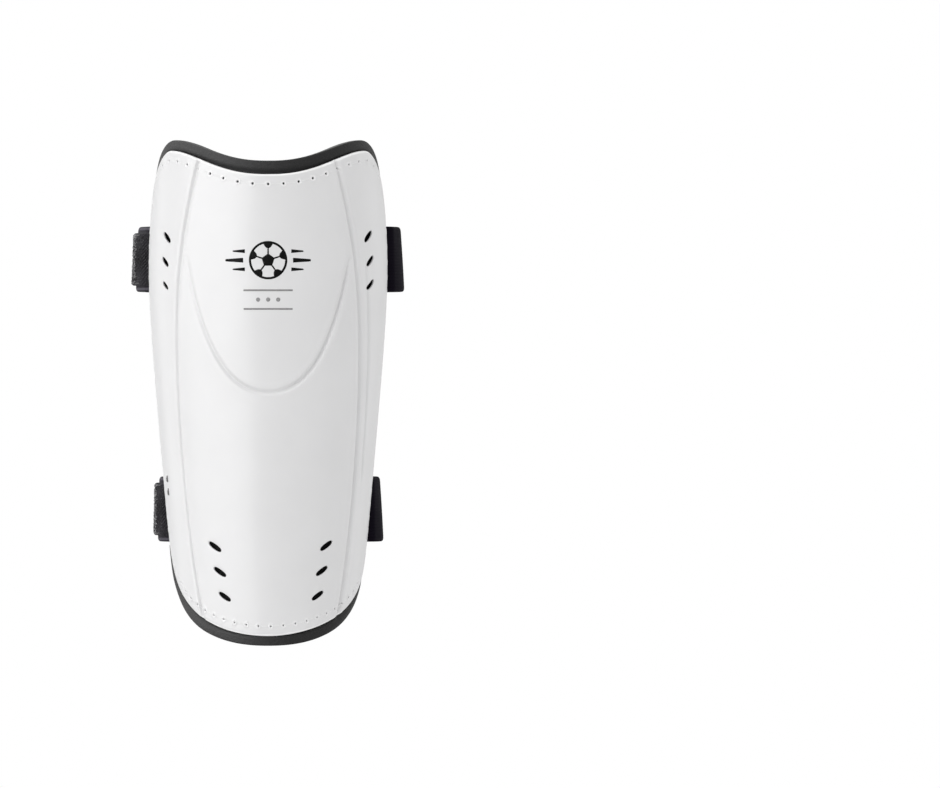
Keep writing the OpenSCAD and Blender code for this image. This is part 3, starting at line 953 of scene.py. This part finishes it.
def sheet_mesh(name, material, front, back, uv, flip):
    """A closed mesh between two grids of points."""
    ni, nj = front.shape[:2]
    n = np.arange(ni * nj).reshape(ni, nj)
    o = n + ni * nj

    def quads(a, b, c, d):
        return np.stack([x.ravel() for x in (a, b, c, d)], axis=1)

    faces = [quads(n[:-1, :-1], n[1:, :-1], n[1:, 1:], n[:-1, 1:]),
             quads(o[:-1, :-1], o[:-1, 1:], o[1:, 1:], o[1:, :-1]),
             quads(n[:-1, 0], o[:-1, 0], o[1:, 0], n[1:, 0]),
             quads(n[:-1, -1], n[1:, -1], o[1:, -1], o[:-1, -1]),
             quads(n[0, :-1], n[0, 1:], o[0, 1:], o[0, :-1]),
             quads(n[-1, :-1], o[-1, :-1], o[-1, 1:], n[-1, 1:])]
    faces = np.vstack(faces)
    if flip:
        faces = faces[:, ::-1]
    points = np.vstack([front.reshape(-1, 3), back.reshape(-1, 3)])
    uv = uv.reshape(-1, 2)
    return make_piece(name, points, faces.tolist(), material, uv=np.vstack([uv, uv]))


def side_columns(count, width, round_edge):
    """Columns across a band from -1 to 1, with extra ones where its sides are round."""
    flat = np.linspace(-1, 1, count) * (1 - 2 * round_edge / width)
    turn = np.array([0, 0.08, 0.3, 0.62]) * 2 * round_edge / width
    return np.concatenate([-1 + turn, flat, (1 - turn)[::-1]])


def tube(path, radius, sides=6):
    """Points and faces of a closed tube along a path, its ends drawn to points."""
    path = np.asarray(path)
    along = np.gradient(path, axis=0)
    along /= np.linalg.norm(along, axis=1)[:, None]
    helper = np.where(np.abs(along[:, 2:]) < 0.9, [[0.0, 0, 1]], [[1.0, 0, 0]])
    a = np.cross(along, helper)
    a /= np.linalg.norm(a, axis=1)[:, None]
    b = np.cross(along, a)
    turn = np.linspace(0, 2 * math.pi, sides, endpoint=False)
    ring = (np.cos(turn)[None, :, None] * a[:, None] + np.sin(turn)[None, :, None] * b[:, None])
    points = (path[:, None] + radius * ring).reshape(-1, 3)
    points = np.vstack([points, path[:1], path[-1:]])
    faces, n = [], len(path)
    for i in range(n - 1):
        for k in range(sides):
            j = (k + 1) % sides
            faces.append((i * sides + k, i * sides + j, (i + 1) * sides + j, (i + 1) * sides + k))
    for k in range(sides):
        j = (k + 1) % sides
        faces.append((n * sides, j, k))
        faces.append((n * sides + 1, (n - 1) * sides + k, (n - 1) * sides + j))
    return points, faces


def join(parts):
    """Several (points, faces) as one."""
    points, faces, start = [], [], 0
    for p, f in parts:
        points.append(p)
        faces += [tuple(i + start for i in face) for face in f]
        start += len(p)
    return np.vstack(points), faces


def tubes(name, material, paths, radius, sides=6):
    """A piece made of one tube along each path."""
    points, faces = join([tube(path, radius, sides) for path in paths])
    return make_piece(name, points, faces, material)


def stitch_path(a, b, out, sink, lie, short=0.03):
    """A stitch from a to b: up out of one hole, along just above the face, down the next.
    out is the outward direction, sink how deep its ends go, lie how high its middle lies, and short
    the share of its length that it stops short of each hole's middle."""
    u = np.linspace(0, 1, 9)
    height = -sink + (lie + sink) * np.minimum(1, (np.sin(np.pi * u)) * 3.0) ** 0.7
    return a + (b - a) * (short + (1 - 2 * short) * u)[:, None] + out * height[:, None]


def seam_paths(points, inset, sink, lie, outward=1.0, short=0.03):
    """Stitches between flat points, on the face at that inset."""
    paths = []
    n = len(points)
    for k in range(n):
        a, b = points[k], points[(k + 1) % n]
        flat = np.array([a, b])
        p, q = skin(flat[:, 0] / R0, flat[:, 1], inset)
        phi = (a[0] + b[0]) / 2 / R0
        out = np.array([math.sin(phi), -math.cos(phi), 0]) * outward
        paths.append(stitch_path(p, q, out, sink, lie, short))
    return paths


def make_seam():
    """The thread round the guard: its upper run on the shell and its lower run on the lining."""
    paths = seam_paths(SEAM, 0, 0.6 * MM, 0.0, short=0.065)
    inside_face = LINING_IN + LINING_T - SEAM_DENT
    paths += seam_paths(SEAM, inside_face, 0.5 * MM, 0.25 * MM, outward=-1.0)
    obj = tubes("seam_thread", THREAD_WHITE, paths, FINE_R)
    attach(obj, "guard")
    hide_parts("perimeter_stitching")


# ---- the two straps

# How far the left tabs and the elastics lean out at their lower edges
LEAN_LEFT = {"upper": 0.5 * MM, "lower": 0.3 * MM}
LEAN_RIGHT = 0.75 * MM


def shaped(points, strap, side, amount, curl=0.55 * MM):
    """How the cloth hangs: it leans outwards towards its lower edge once it has left the guard, until
    the bands lap, and its two edges curl in. points are a band's, with x mirrored on the left."""
    centre = strap.centre * np.array([side, 1])
    from_centre = points[..., :2] - centre
    t = np.degrees(np.arctan2(from_centre[..., 1], from_centre[..., 0]))
    fade_from, fade_over = (20, 60) if side > 0 else (4, 20)
    away = smooth((points[..., 1] - SIDE_Y) / (14 * MM))
    lean = (strap.z - points[..., 2]) / (STRAP_W / 2)
    edge = np.clip((np.abs(lean) - 1) * STRAP_W / 2 / (1.7 * MM) + 1, 0, 1)
    shift = amount * lean * away * (1 - smooth((t - fade_from) / fade_over)) - curl * edge ** 2 * away
    moved = points.copy()
    moved[..., :2] += from_centre / np.linalg.norm(from_centre, axis=-1)[..., None] * shift[..., None]
    return moved


def make_elastic(strap):
    """The elastic from under the shell's right edge round the calf, one piece over its hinge."""
    columns = side_columns(41, STRAP_W, ROUND_SIDE)
    inset = FOAM_IN - LAYER + STRAP_T / 2

    def line(h):
        return run_xy(strap, 1, h, inset, strap.elastic_r, HOOK_FROM - math.radians(1.3), math.radians(1))

    points, normals = ribbon_grid(strap, STRAP_W, columns, line)
    points = shaped(points, strap, 1, LEAN_RIGHT)

    def ribs(run, across):
        waves = 0.03 * MM * np.abs(np.sin(np.pi * across / (ELASTIC_RIB * MM)))
        soft = 0.1 * MM * np.sin(run / (23 * MM) + across / (9 * MM))
        return waves + soft

    obj = band(f"{strap.name}_elastic", ELASTIC, points, normals, STRAP_T - 0.15 * MM,
               columns, STRAP_W, relief=ribs)
    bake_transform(obj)
    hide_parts(f"{strap.name}_elastic_root", f"{strap.name}_elastic_band")


def make_loop_tab(strap):
    """The webbing tab sewn in at the left edge."""
    columns = side_columns(33, STRAP_W, ROUND_SIDE)
    inset = FOAM_IN - LAYER + STRAP_T / 2
    points, normals = ribbon_grid(strap, STRAP_W, columns,
                                  lambda h: run_xy(strap, -1, h, inset, strap.tab_r, LOOP_END))
    points = shaped(points, strap, -1, LEAN_LEFT[strap.name])

    def ribs(run, across):
        return 0.08 * MM * np.abs(np.sin(np.pi * across / (WEBBING_RIB * MM)))

    obj = band(f"{strap.name}_webbing", WEBBING, points, normals, STRAP_T - 0.1 * MM,
               columns, STRAP_W, relief=ribs, mirrored=True)
    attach(obj, "guard")
    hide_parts(f"{strap.name}_loop_tab")


def make_loop_tape(strap):
    """The loop tape: a woven base and a rough pile of small loops."""
    columns = side_columns(75, LOOP_W, 0.4 * MM)
    inset = FOAM_IN - LAYER - LAYER - LOOP_T / 2
    end = LOOP_END - math.radians(2)
    length = (end + JOIN) * strap.loop_r + 8 * MM
    count = round(length / (0.3 * MM))

    def line(h):
        whole = run_xy(strap, -1, h, inset, strap.loop_r, end)
        return even(whole[len(ANCHOR_PHI) + 3:], count)

    points, normals = ribbon_grid(strap, LOOP_W, columns, line)
    points = shaped(points, strap, -1, LEAN_LEFT[strap.name], curl=0)
    lumps = pile_heights(points.shape[:2])

    def pile(run, across):
        from_side = np.clip((LOOP_W / 2 - np.abs(across)) / (0.8 * MM), 0, 1)
        return (lumps - PILE_SINK) * from_side

    obj = band(f"{strap.name}_pile", PILE, points, normals, LOOP_T - 0.5 * MM, columns,
               LOOP_W, relief=pile, mirrored=True)
    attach(obj, "guard")
    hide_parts(f"{strap.name}_loop_tape")
    last = len(points) - 3
    loops = tubes(f"{strap.name}_pile_loops", LOOP_TIPS,
                  pile_loops(points, normals, 1000, 2, last, (0.3, 0.7)), 0.09 * MM, sides=3)
    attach(loops, "guard")
    # At the outermost part of the bend the loops are longer, and paler: a painted highlight where they catch
    # the light at the tape's edge.
    turn = np.arctan2(points[:, 0, 1] - strap.centre[1], points[:, 0, 0] + strap.centre[0])
    outer_bend = np.flatnonzero(np.abs(turn - math.radians(-4)) < math.radians(9))
    loops = tubes(f"{strap.name}_worn_loops", HIGHLIT_TIPS,
                  pile_loops(points, normals, 250, outer_bend[0], outer_bend[-1], (0.35, 0.7)), 0.13 * MM, sides=4)
    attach(loops, "guard")


def even(run, count):
    """The same open run as that many evenly spaced points."""
    at = np.concatenate([[0], np.cumsum(np.linalg.norm(np.diff(run, axis=0), axis=1))])
    where = np.linspace(0, at[-1], count)
    return np.column_stack([np.interp(where, at, run[:, k]) for k in (0, 1)])


# Grid steps from one slanting row of the pile to the next, and the slant
PILE_ROW, SLANT = 5.7, 1.1


def pile_heights(shape):
    """Seeded lumps about half a millimetre across, in slanting rows."""
    rough = rng.random(shape)
    for _ in range(2):
        rough = (rough + np.roll(rough, 1, 0) + np.roll(rough, 1, 1) + np.roll(rough, -1, 0)) / 4
    rough = (rough - rough.min()) / (rough.max() - rough.min())
    i, j = np.indices(shape)
    rows = 0.5 + 0.5 * np.cos((i + SLANT * j) * 2 * math.pi / PILE_ROW)
    return (0.4 * rough + 0.2 * rows * rough + 0.4 * rows) * 0.9 * MM


def pile_loops(points, normals, count, first, last, heights):
    """Small arched loops along the pile's slanting rows, between two steps of its run. heights is
    the range of how far they stand out, in mm."""
    nj = points.shape[1]
    paths = []
    for _ in range(count):
        j = rng.integers(6, nj - 6)
        row = rng.integers((first + SLANT * j) // PILE_ROW + 1, (last + SLANT * j) // PILE_ROW + 1)
        i = int(np.clip(row * PILE_ROW - SLANT * j + rng.integers(0, 2), first, last))
        p, out = points[i, j], normals[i, j]
        along = points[i + 1, j] - points[i - 1, j]
        along /= np.linalg.norm(along)
        lean = rng.normal(math.radians(135), 0.5)
        side = math.cos(lean) * along + math.sin(lean) * np.array([0, 0, 1.0])
        high, wide = rng.uniform(*heights) * MM, rng.uniform(0.25, 0.5) * MM
        u = np.linspace(0, math.pi, 6)
        base = p + out * (LOOP_T / 2 - PILE_SINK)
        path = base - np.cos(u)[:, None] * side * wide + np.sin(u)[:, None] * out * high
        paths.append(path * MIRROR)
    return paths


def make_hook_end(strap):
    """The pull end: the webbing that laps over the elastic's end, and the hook tape inside it."""
    columns = side_columns(33, STRAP_W, ROUND_SIDE)
    t = np.radians(np.linspace(108.5, math.degrees(HOOK_TO), 52))
    lap = STRAP_T * 0.98 * (1 - smooth((np.degrees(t) - 113.2) / 2.8))
    r = strap.elastic_r + lap

    def line(h):
        return np.column_stack([strap.centre[0] + r * np.cos(t), strap.centre[1] + r * np.sin(t)])

    points, normals = ribbon_grid(strap, STRAP_W, columns, line)
    points = shaped(points, strap, 1, LEAN_RIGHT)
    end_round(points, strap)

    def ribs(run, across):
        return 0.07 * MM * np.abs(np.sin(np.pi * across / (WEBBING_RIB * MM)))

    obj = band(f"{strap.name}_pull_end", ELASTIC, points, normals, STRAP_T - 0.15 * MM,
               columns, STRAP_W, relief=ribs)
    turn = strap.circle(1, strap.elastic_r, np.array([HOOK_FROM]))[0]
    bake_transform(obj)
    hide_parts(f"{strap.name}_hook_tab")
    make_hooks(strap)
    make_hook_thread(strap)


def end_round(points, strap):
    """Rounds the corners of a band's far end."""
    corner = 4 * MM
    for i in range(len(points)):
        left = np.linalg.norm(points[-1, :, :2].mean(0) - points[i, :, :2].mean(0))
        if left < corner:
            trim = corner - math.sqrt(max(0.0, corner ** 2 - (corner - left) ** 2))
            scale = 1 - trim / (STRAP_W / 2)
            points[i, :, 2] = strap.z + (points[i, :, 2] - strap.z) * scale


def make_hooks(strap):
    """The hook tape: a moulded base with rows of small hooks that face the loops."""
    first, last = HOOK_FROM + HOOK_START, HOOK_TO - math.radians(1.5)
    base_t = 0.5 * MM
    r = strap.elastic_r - STRAP_T / 2 - LAYER - base_t / 2
    columns = side_columns(21, HOOK_W, 0.2 * MM)
    count = max(3, round((last - first) / math.radians(1.5)))
    arc = strap.circle(1, r, np.linspace(first, last, count))
    points, normals = ribbon_grid(strap, HOOK_W, columns, lambda h: arc)
    base = band(f"{strap.name}_hook_base", HOOKS, points, normals, base_t, columns, HOOK_W,
                round_edge=0.2 * MM)
    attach(base, f"{strap.name}_hook_end")
    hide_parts(f"{strap.name}_hook_tape")
    pitch = 1.15 * MM
    paths = []
    rows = round(r * (last - first - math.radians(2)) / pitch)
    lines = round((HOOK_W - 2 * MM) / pitch)
    for a in range(rows):
        t = first + math.radians(1) + (last - first - math.radians(2)) * (a + 0.5) / rows
        to_leg = -np.array([math.cos(t), math.sin(t), 0])
        along = np.array([-math.sin(t), math.cos(t), 0])
        for b in range(lines):
            z = strap.z + (b - (lines - 1) / 2) * pitch
            root = np.array([*strap.circle(1, r - base_t / 2, np.array([t]))[0], z])
            way = 1 if b % 2 else -1
            u = np.linspace(0, 1, 6)
            up = 0.62 * MM * np.sin(u * 2.25)
            over = way * 0.32 * MM * (1 - np.cos(u * 2.9)) / 2
            paths.append(root + to_leg * (up - 0.05 * MM)[:, None] + along * over[:, None])
    hooks = tubes(f"{strap.name}_hooks", HOOKS, paths, 0.11 * MM, sides=4)
    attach(hooks, f"{strap.name}_hook_end")


STITCH = 2.9 * MM


def arc_stitches(strap, side, r, a, b, z):
    """Stitches on the circle at radius r from angle a to b, still mirrored on the left."""
    count = round((b - a) * r / STITCH)
    t = np.linspace(a, b, count + 1)
    flat = strap.circle(side, r, t)
    paths = []
    for k in range(count):
        middle = (t[k] + t[k + 1]) / 2
        out = np.array([math.cos(middle), math.sin(middle), 0])
        p, q = np.array([*flat[k], z]), np.array([*flat[k + 1], z])
        paths.append(stitch_path(p, q, out, 0.45 * MM, 0.16 * MM))
    return paths


def cross_stitches(strap, side, r, t, low, high):
    """Stitches straight up at angle t, still mirrored on the left."""
    count = round((high - low) / STITCH)
    z = np.linspace(low, high, count + 1)
    out = np.array([math.cos(t), math.sin(t), 0])
    x, y = strap.circle(side, r, np.array([t]))[0]
    return [stitch_path(np.array([x, y, z[k]]), np.array([x, y, z[k + 1]]), out, 0.45 * MM, 0.16 * MM)
            for k in range(count)]


def make_tape_thread(strap):
    """The stitches that hold the loop tape on its tab, along both sides and across its end."""
    r = strap.loop_r + LOOP_T / 2 - PILE_SINK
    edge = LOOP_W / 2 - 0.9 * MM
    paths = []
    for side_z in (-edge, edge):
        paths += arc_stitches(strap, -1, r, -JOIN + math.radians(2), LOOP_END - math.radians(4),
                              strap.z + side_z)
    paths += cross_stitches(strap, -1, r, LOOP_END - math.radians(3.2), strap.z - edge, strap.z + edge)
    paths = [shaped(path, strap, -1, LEAN_LEFT[strap.name], curl=0) * MIRROR for path in paths]
    obj = tubes(f"{strap.name}_tape_thread", THREAD_GREY, paths, THREAD_R)
    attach(obj, "guard")
    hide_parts(f"{strap.name}_tape_stitching")


def make_hook_thread(strap):
    """The stitches round the hook tape, and the ones that join the pull end to the elastic."""
    r = strap.elastic_r + STRAP_T / 2 - 0.05 * MM
    edge = HOOK_W / 2 - 1 * MM
    first, last = HOOK_FROM + HOOK_START + math.radians(1), HOOK_TO - math.radians(2.5)
    paths = []
    for side_z in (-edge, edge):
        paths += arc_stitches(strap, 1, r, first, last, strap.z + side_z)
    for t in (first, last):
        paths += cross_stitches(strap, 1, r, t, strap.z - edge, strap.z + edge)
    obj = tubes(f"{strap.name}_hook_thread", THREAD_GREY, paths, THREAD_R)
    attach(obj, f"{strap.name}_hook_end")
    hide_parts(f"{strap.name}_hook_stitching")
    lap_r = r + STRAP_T
    lap = []
    for degrees in (109.6, 112.2):
        lap += cross_stitches(strap, 1, lap_r, math.radians(degrees), strap.z - LAP_HALF, strap.z + LAP_HALF)
    joined = tubes(f"{strap.name}_lap_thread", THREAD_GREY, lap, THREAD_R)
    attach(joined, f"{strap.name}_strap")


def make_bar_tacks(strap):
    """Tacks that hold the sewn-in ends of the strap, drawn down flush into the shell. Two short grey
    ones show beside the lower loop tab."""
    white = []
    for side in (1, -1):
        for degrees in (73.3, 79):
            for k in range(-2, 2):
                h = strap.h + 4.6 * MM * np.array([k, k + 1])
                white.append(tack(side * math.radians(degrees), h, -0.12 * MM))
    obj = tubes(f"{strap.name}_bar_tacks", THREAD_WHITE, white, FINE_R)
    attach(obj, "guard")
    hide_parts(f"{strap.name}_anchor_stitching")
    if strap is LOWER:
        grey_tacks = [tack(math.radians(-74), strap.h + np.array(ends) * MM, 0.15 * MM)
                      for ends in ((5.8, 8.3), (11.1, 13.3))]
        grey_ones = tubes("lower_grey_tacks", THREAD_GREY, grey_tacks, 0.5 * MM)
        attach(grey_ones, "guard")


def tack(phi, h, lie):
    """One upright stitch on the shell between the two heights in h."""
    p, q = skin(phi, h, 0)
    return stitch_path(p, q, np.array([math.sin(phi), -math.cos(phi), 0]), 0.4 * MM, lie)


# ---- printed mark

MARK_H = 152.5 * MM


def print_patch(name, material, loops_up):
    """A thin film of ink over flat shapes given as true (across, up) lengths from the mark's middle."""
    parts = []
    centre = np.array([0.0, MARK_H])
    for loop in loops_up:
        outline = turned(resample(on_skin(centre, np.asarray(loop) * MM), 0.35 * MM), True)
        lo, hi = outline.min(0), outline.max(0)
        x, y = np.meshgrid(np.arange(lo[0], hi[0], 0.6 * MM), np.arange(lo[1], hi[1], 0.6 * MM))
        spots = np.column_stack([x.ravel(), y.ravel()])
        spots = spots[inside(outline, spots)]
        if len(spots):
            spots = spots[distances(near_tree(outline), spots) > 0.25 * MM]
        faces = fill([outline], spots)
        flat = np.vstack([outline, spots.reshape(-1, 2)])
        n = len(outline)
        top = skin(flat[:, 0] / R0, flat[:, 1], -0.035 * MM - shell_relief(flat))
        wall = skin(outline[:, 0] / R0, outline[:, 1], 0.03 * MM)
        sides = [(i, len(flat) + i, len(flat) + (i + 1) % n, (i + 1) % n) for i in range(n)]
        parts.append((np.vstack([top, wall]), faces.tolist() + sides))
    points, faces = join(parts)
    obj = make_piece(name, points, faces, material)
    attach(obj, "guard")


def ring_sector(r_in, r_out, a, b, n=24):
    t = np.radians(np.linspace(a, b, n))
    outer = np.column_stack([r_out * np.cos(t), r_out * np.sin(t)])
    inner = np.column_stack([r_in * np.cos(t), r_in * np.sin(t)])
    return np.vstack([outer, inner[::-1]])


def make_mark():
    """A plain ball sign between tapered bars, with three grey dots between two rules below it."""
    ball = [ring_sector(6.7, 7.6, a, a + 119.9, 60) for a in (0, 120, 240)]
    five = [np.array([math.cos(a), math.sin(a)]) for a in np.radians(90 + 72 * np.arange(5))]
    ball.append(np.array(five) * 2.7)
    for k in range(5):
        way, side = five[k], np.array([-five[k][1], five[k][0]])
        ball.append(np.array([way * 2.5 - side * 0.3, way * 4.6 - side * 0.3, way * 4.6 + side * 0.3,
                              way * 2.5 + side * 0.3]))
        ball.append(np.array([way * 6.85 - side * 2.1, way * 6.85 + side * 2.1,
                              way * 5.2 + side * 1.1, way * 4.5, way * 5.2 - side * 1.1]))
    bars = []
    for side in (1, -1):
        for up, near, far, thick in ((3.6, 9.2, 14.2, 1.5), (0, 9.9, 17.2, 1.9), (-3.6, 9.2, 14.2, 1.5)):
            bars.append(np.array([(side * near, up - thick / 2), (side * far, up - thick / 2 + 0.5),
                                  (side * far, up + thick / 2 - 0.5), (side * near, up + thick / 2)]))
    print_patch("mark_black", INK_BLACK, ball + bars)
    a = np.linspace(0, 2 * math.pi, 24, endpoint=False)
    dots = [np.column_stack([x + 0.85 * np.cos(a), -15.6 + 0.85 * np.sin(a)]) for x in (-4, 0, 4)]
    rules = [np.array([(-9.8, y - 0.36), (9.8, y - 0.36), (9.8, y + 0.36), (-9.8, y + 0.36)])
             for y in (-11.9, -19.3)]
    print_patch("mark_grey", INK_GREY, rules + dots)


# ---- studio

def make_camera():
    """Straight on to the guard's front, which stands left of the middle of the picture. The picture
    spans picture_w at the guard, whose middle stands guard_in from the left."""
    lens, sensor = 600.0, 36.0
    picture_w, guard_in = 372.2772 * MM, 106.1782 * MM
    distance = lens / sensor * picture_w
    data = bpy.data.cameras.new("camera")
    data.lens, data.sensor_width = lens, sensor
    data.shift_x = 0.5 - guard_in / picture_w
    data.clip_end = 20
    camera = bpy.data.objects.new("camera", data)
    camera.location = (0, shell_low.y - distance, BASE_Z + 99.5 * MM)
    camera.rotation_euler = (math.pi / 2, 0, 0)
    bpy.context.scene.collection.objects.link(camera)
    bpy.context.scene.camera = camera


def make_world():
    """A white studio: plain white to the camera, and as light on the guard brighter from above."""
    world = bpy.data.worlds.new("studio")
    bpy.context.scene.world = world
    world.use_nodes = True
    tree = world.node_tree
    background = tree.nodes["Background"]
    where = tree.nodes.new("ShaderNodeTexCoord")
    split = tree.nodes.new("ShaderNodeSeparateXYZ")
    tree.links.new(where.outputs["Generated"], split.inputs[0])
    from_below = tree.nodes.new("ShaderNodeMapRange")
    for key, value in {"From Min": -1, "From Max": 1, "To Min": 0.52, "To Max": 1.08}.items():
        from_below.inputs[key].default_value = value
    tree.links.new(split.outputs["Z"], from_below.inputs["Value"])
    path = tree.nodes.new("ShaderNodeLightPath")
    strength = tree.nodes.new("ShaderNodeMapRange")
    tree.links.new(path.outputs["Is Camera Ray"], strength.inputs["Value"])
    tree.links.new(from_below.outputs[0], strength.inputs["To Min"])
    strength.inputs["To Max"].default_value = 1.0
    tree.links.new(strength.outputs[0], background.inputs["Strength"])
    background.inputs["Color"].default_value = (1, 1, 1, 1)


def make_card(name, place, look_at, size, power, seen_in):
    """A large soft light seen only by diffuse shading, or only in reflections ("gloss")."""
    data = bpy.data.lights.new(name, "AREA")
    data.shape = "RECTANGLE"
    data.size, data.size_y = size
    data.energy = power
    obj = bpy.data.objects.new(name, data)
    obj.location = place
    direction = Vector(look_at) - Vector(place)
    obj.rotation_euler = direction.to_track_quat("-Z", "Y").to_euler()
    obj.visible_camera = False
    obj.visible_diffuse = seen_in == "diffuse"
    obj.visible_glossy = seen_in == "gloss"
    bpy.context.scene.collection.objects.link(obj)


def gloss_card(name, start, end, height, power):
    """An upright card seen only in reflections, from one azimuth to another left of the front."""
    middle, half = math.radians((start + end) / 2), math.radians((end - start) / 2)
    away = 1.1
    place = (-away * math.sin(middle), -away * math.cos(middle), 0.05)
    make_card(name, place, (0, 0, 0.05), (2 * away * math.tan(half), height), power, "gloss")


def make_floor():
    """A pale floor well below the guard, which hangs as it would on a leg."""
    r, z, n = 1.4, -0.25, 96
    t = np.linspace(0, 2 * math.pi, n, endpoint=False)
    points = np.vstack([[[0, 0, z]], np.column_stack([r * np.cos(t), r * np.sin(t), np.full(n, z)])])
    faces = [(0, i + 1, (i + 1) % n + 1) for i in range(n)]
    mesh = bpy.data.meshes.new("floor")
    mesh.from_pydata(points.tolist(), [], faces)
    floor = bpy.data.objects.new("floor", mesh)
    bpy.context.scene.collection.objects.link(floor)
    look = Look("pale_floor", grey(0.82), 0.7)
    look.paint(look.noise(0.02, 3), (0.3, 0.81), (0.7, 0.83))
    floor.data.materials.append(look.material)


make_camera()
make_shell()
make_foam()
make_lining()
make_seam()
for strap in (UPPER, LOWER):
    make_elastic(strap)
    make_loop_tab(strap)
    make_loop_tape(strap)
    make_tape_thread(strap)
    make_hook_end(strap)
    make_bar_tacks(strap)
make_mark()
make_world()
gloss_card("front_left_card", 18, 92, 1.8, 37)
gloss_card("side_left_card", 92, 138, 1.8, 7)
gloss_card("side_right_card", -138, -100, 1.8, 2)
make_card("top_card", (-0.2, 0.1, 1.1), (0, 0, 0), (1.4, 1.4), 20, "gloss")
make_card("left_key", (-1.0, -1.2, 0.9), (0, 0.03, 0), (0.9, 0.9), 6, "diffuse")
make_floor()
bpy.context.scene.view_settings.view_transform = "Standard"
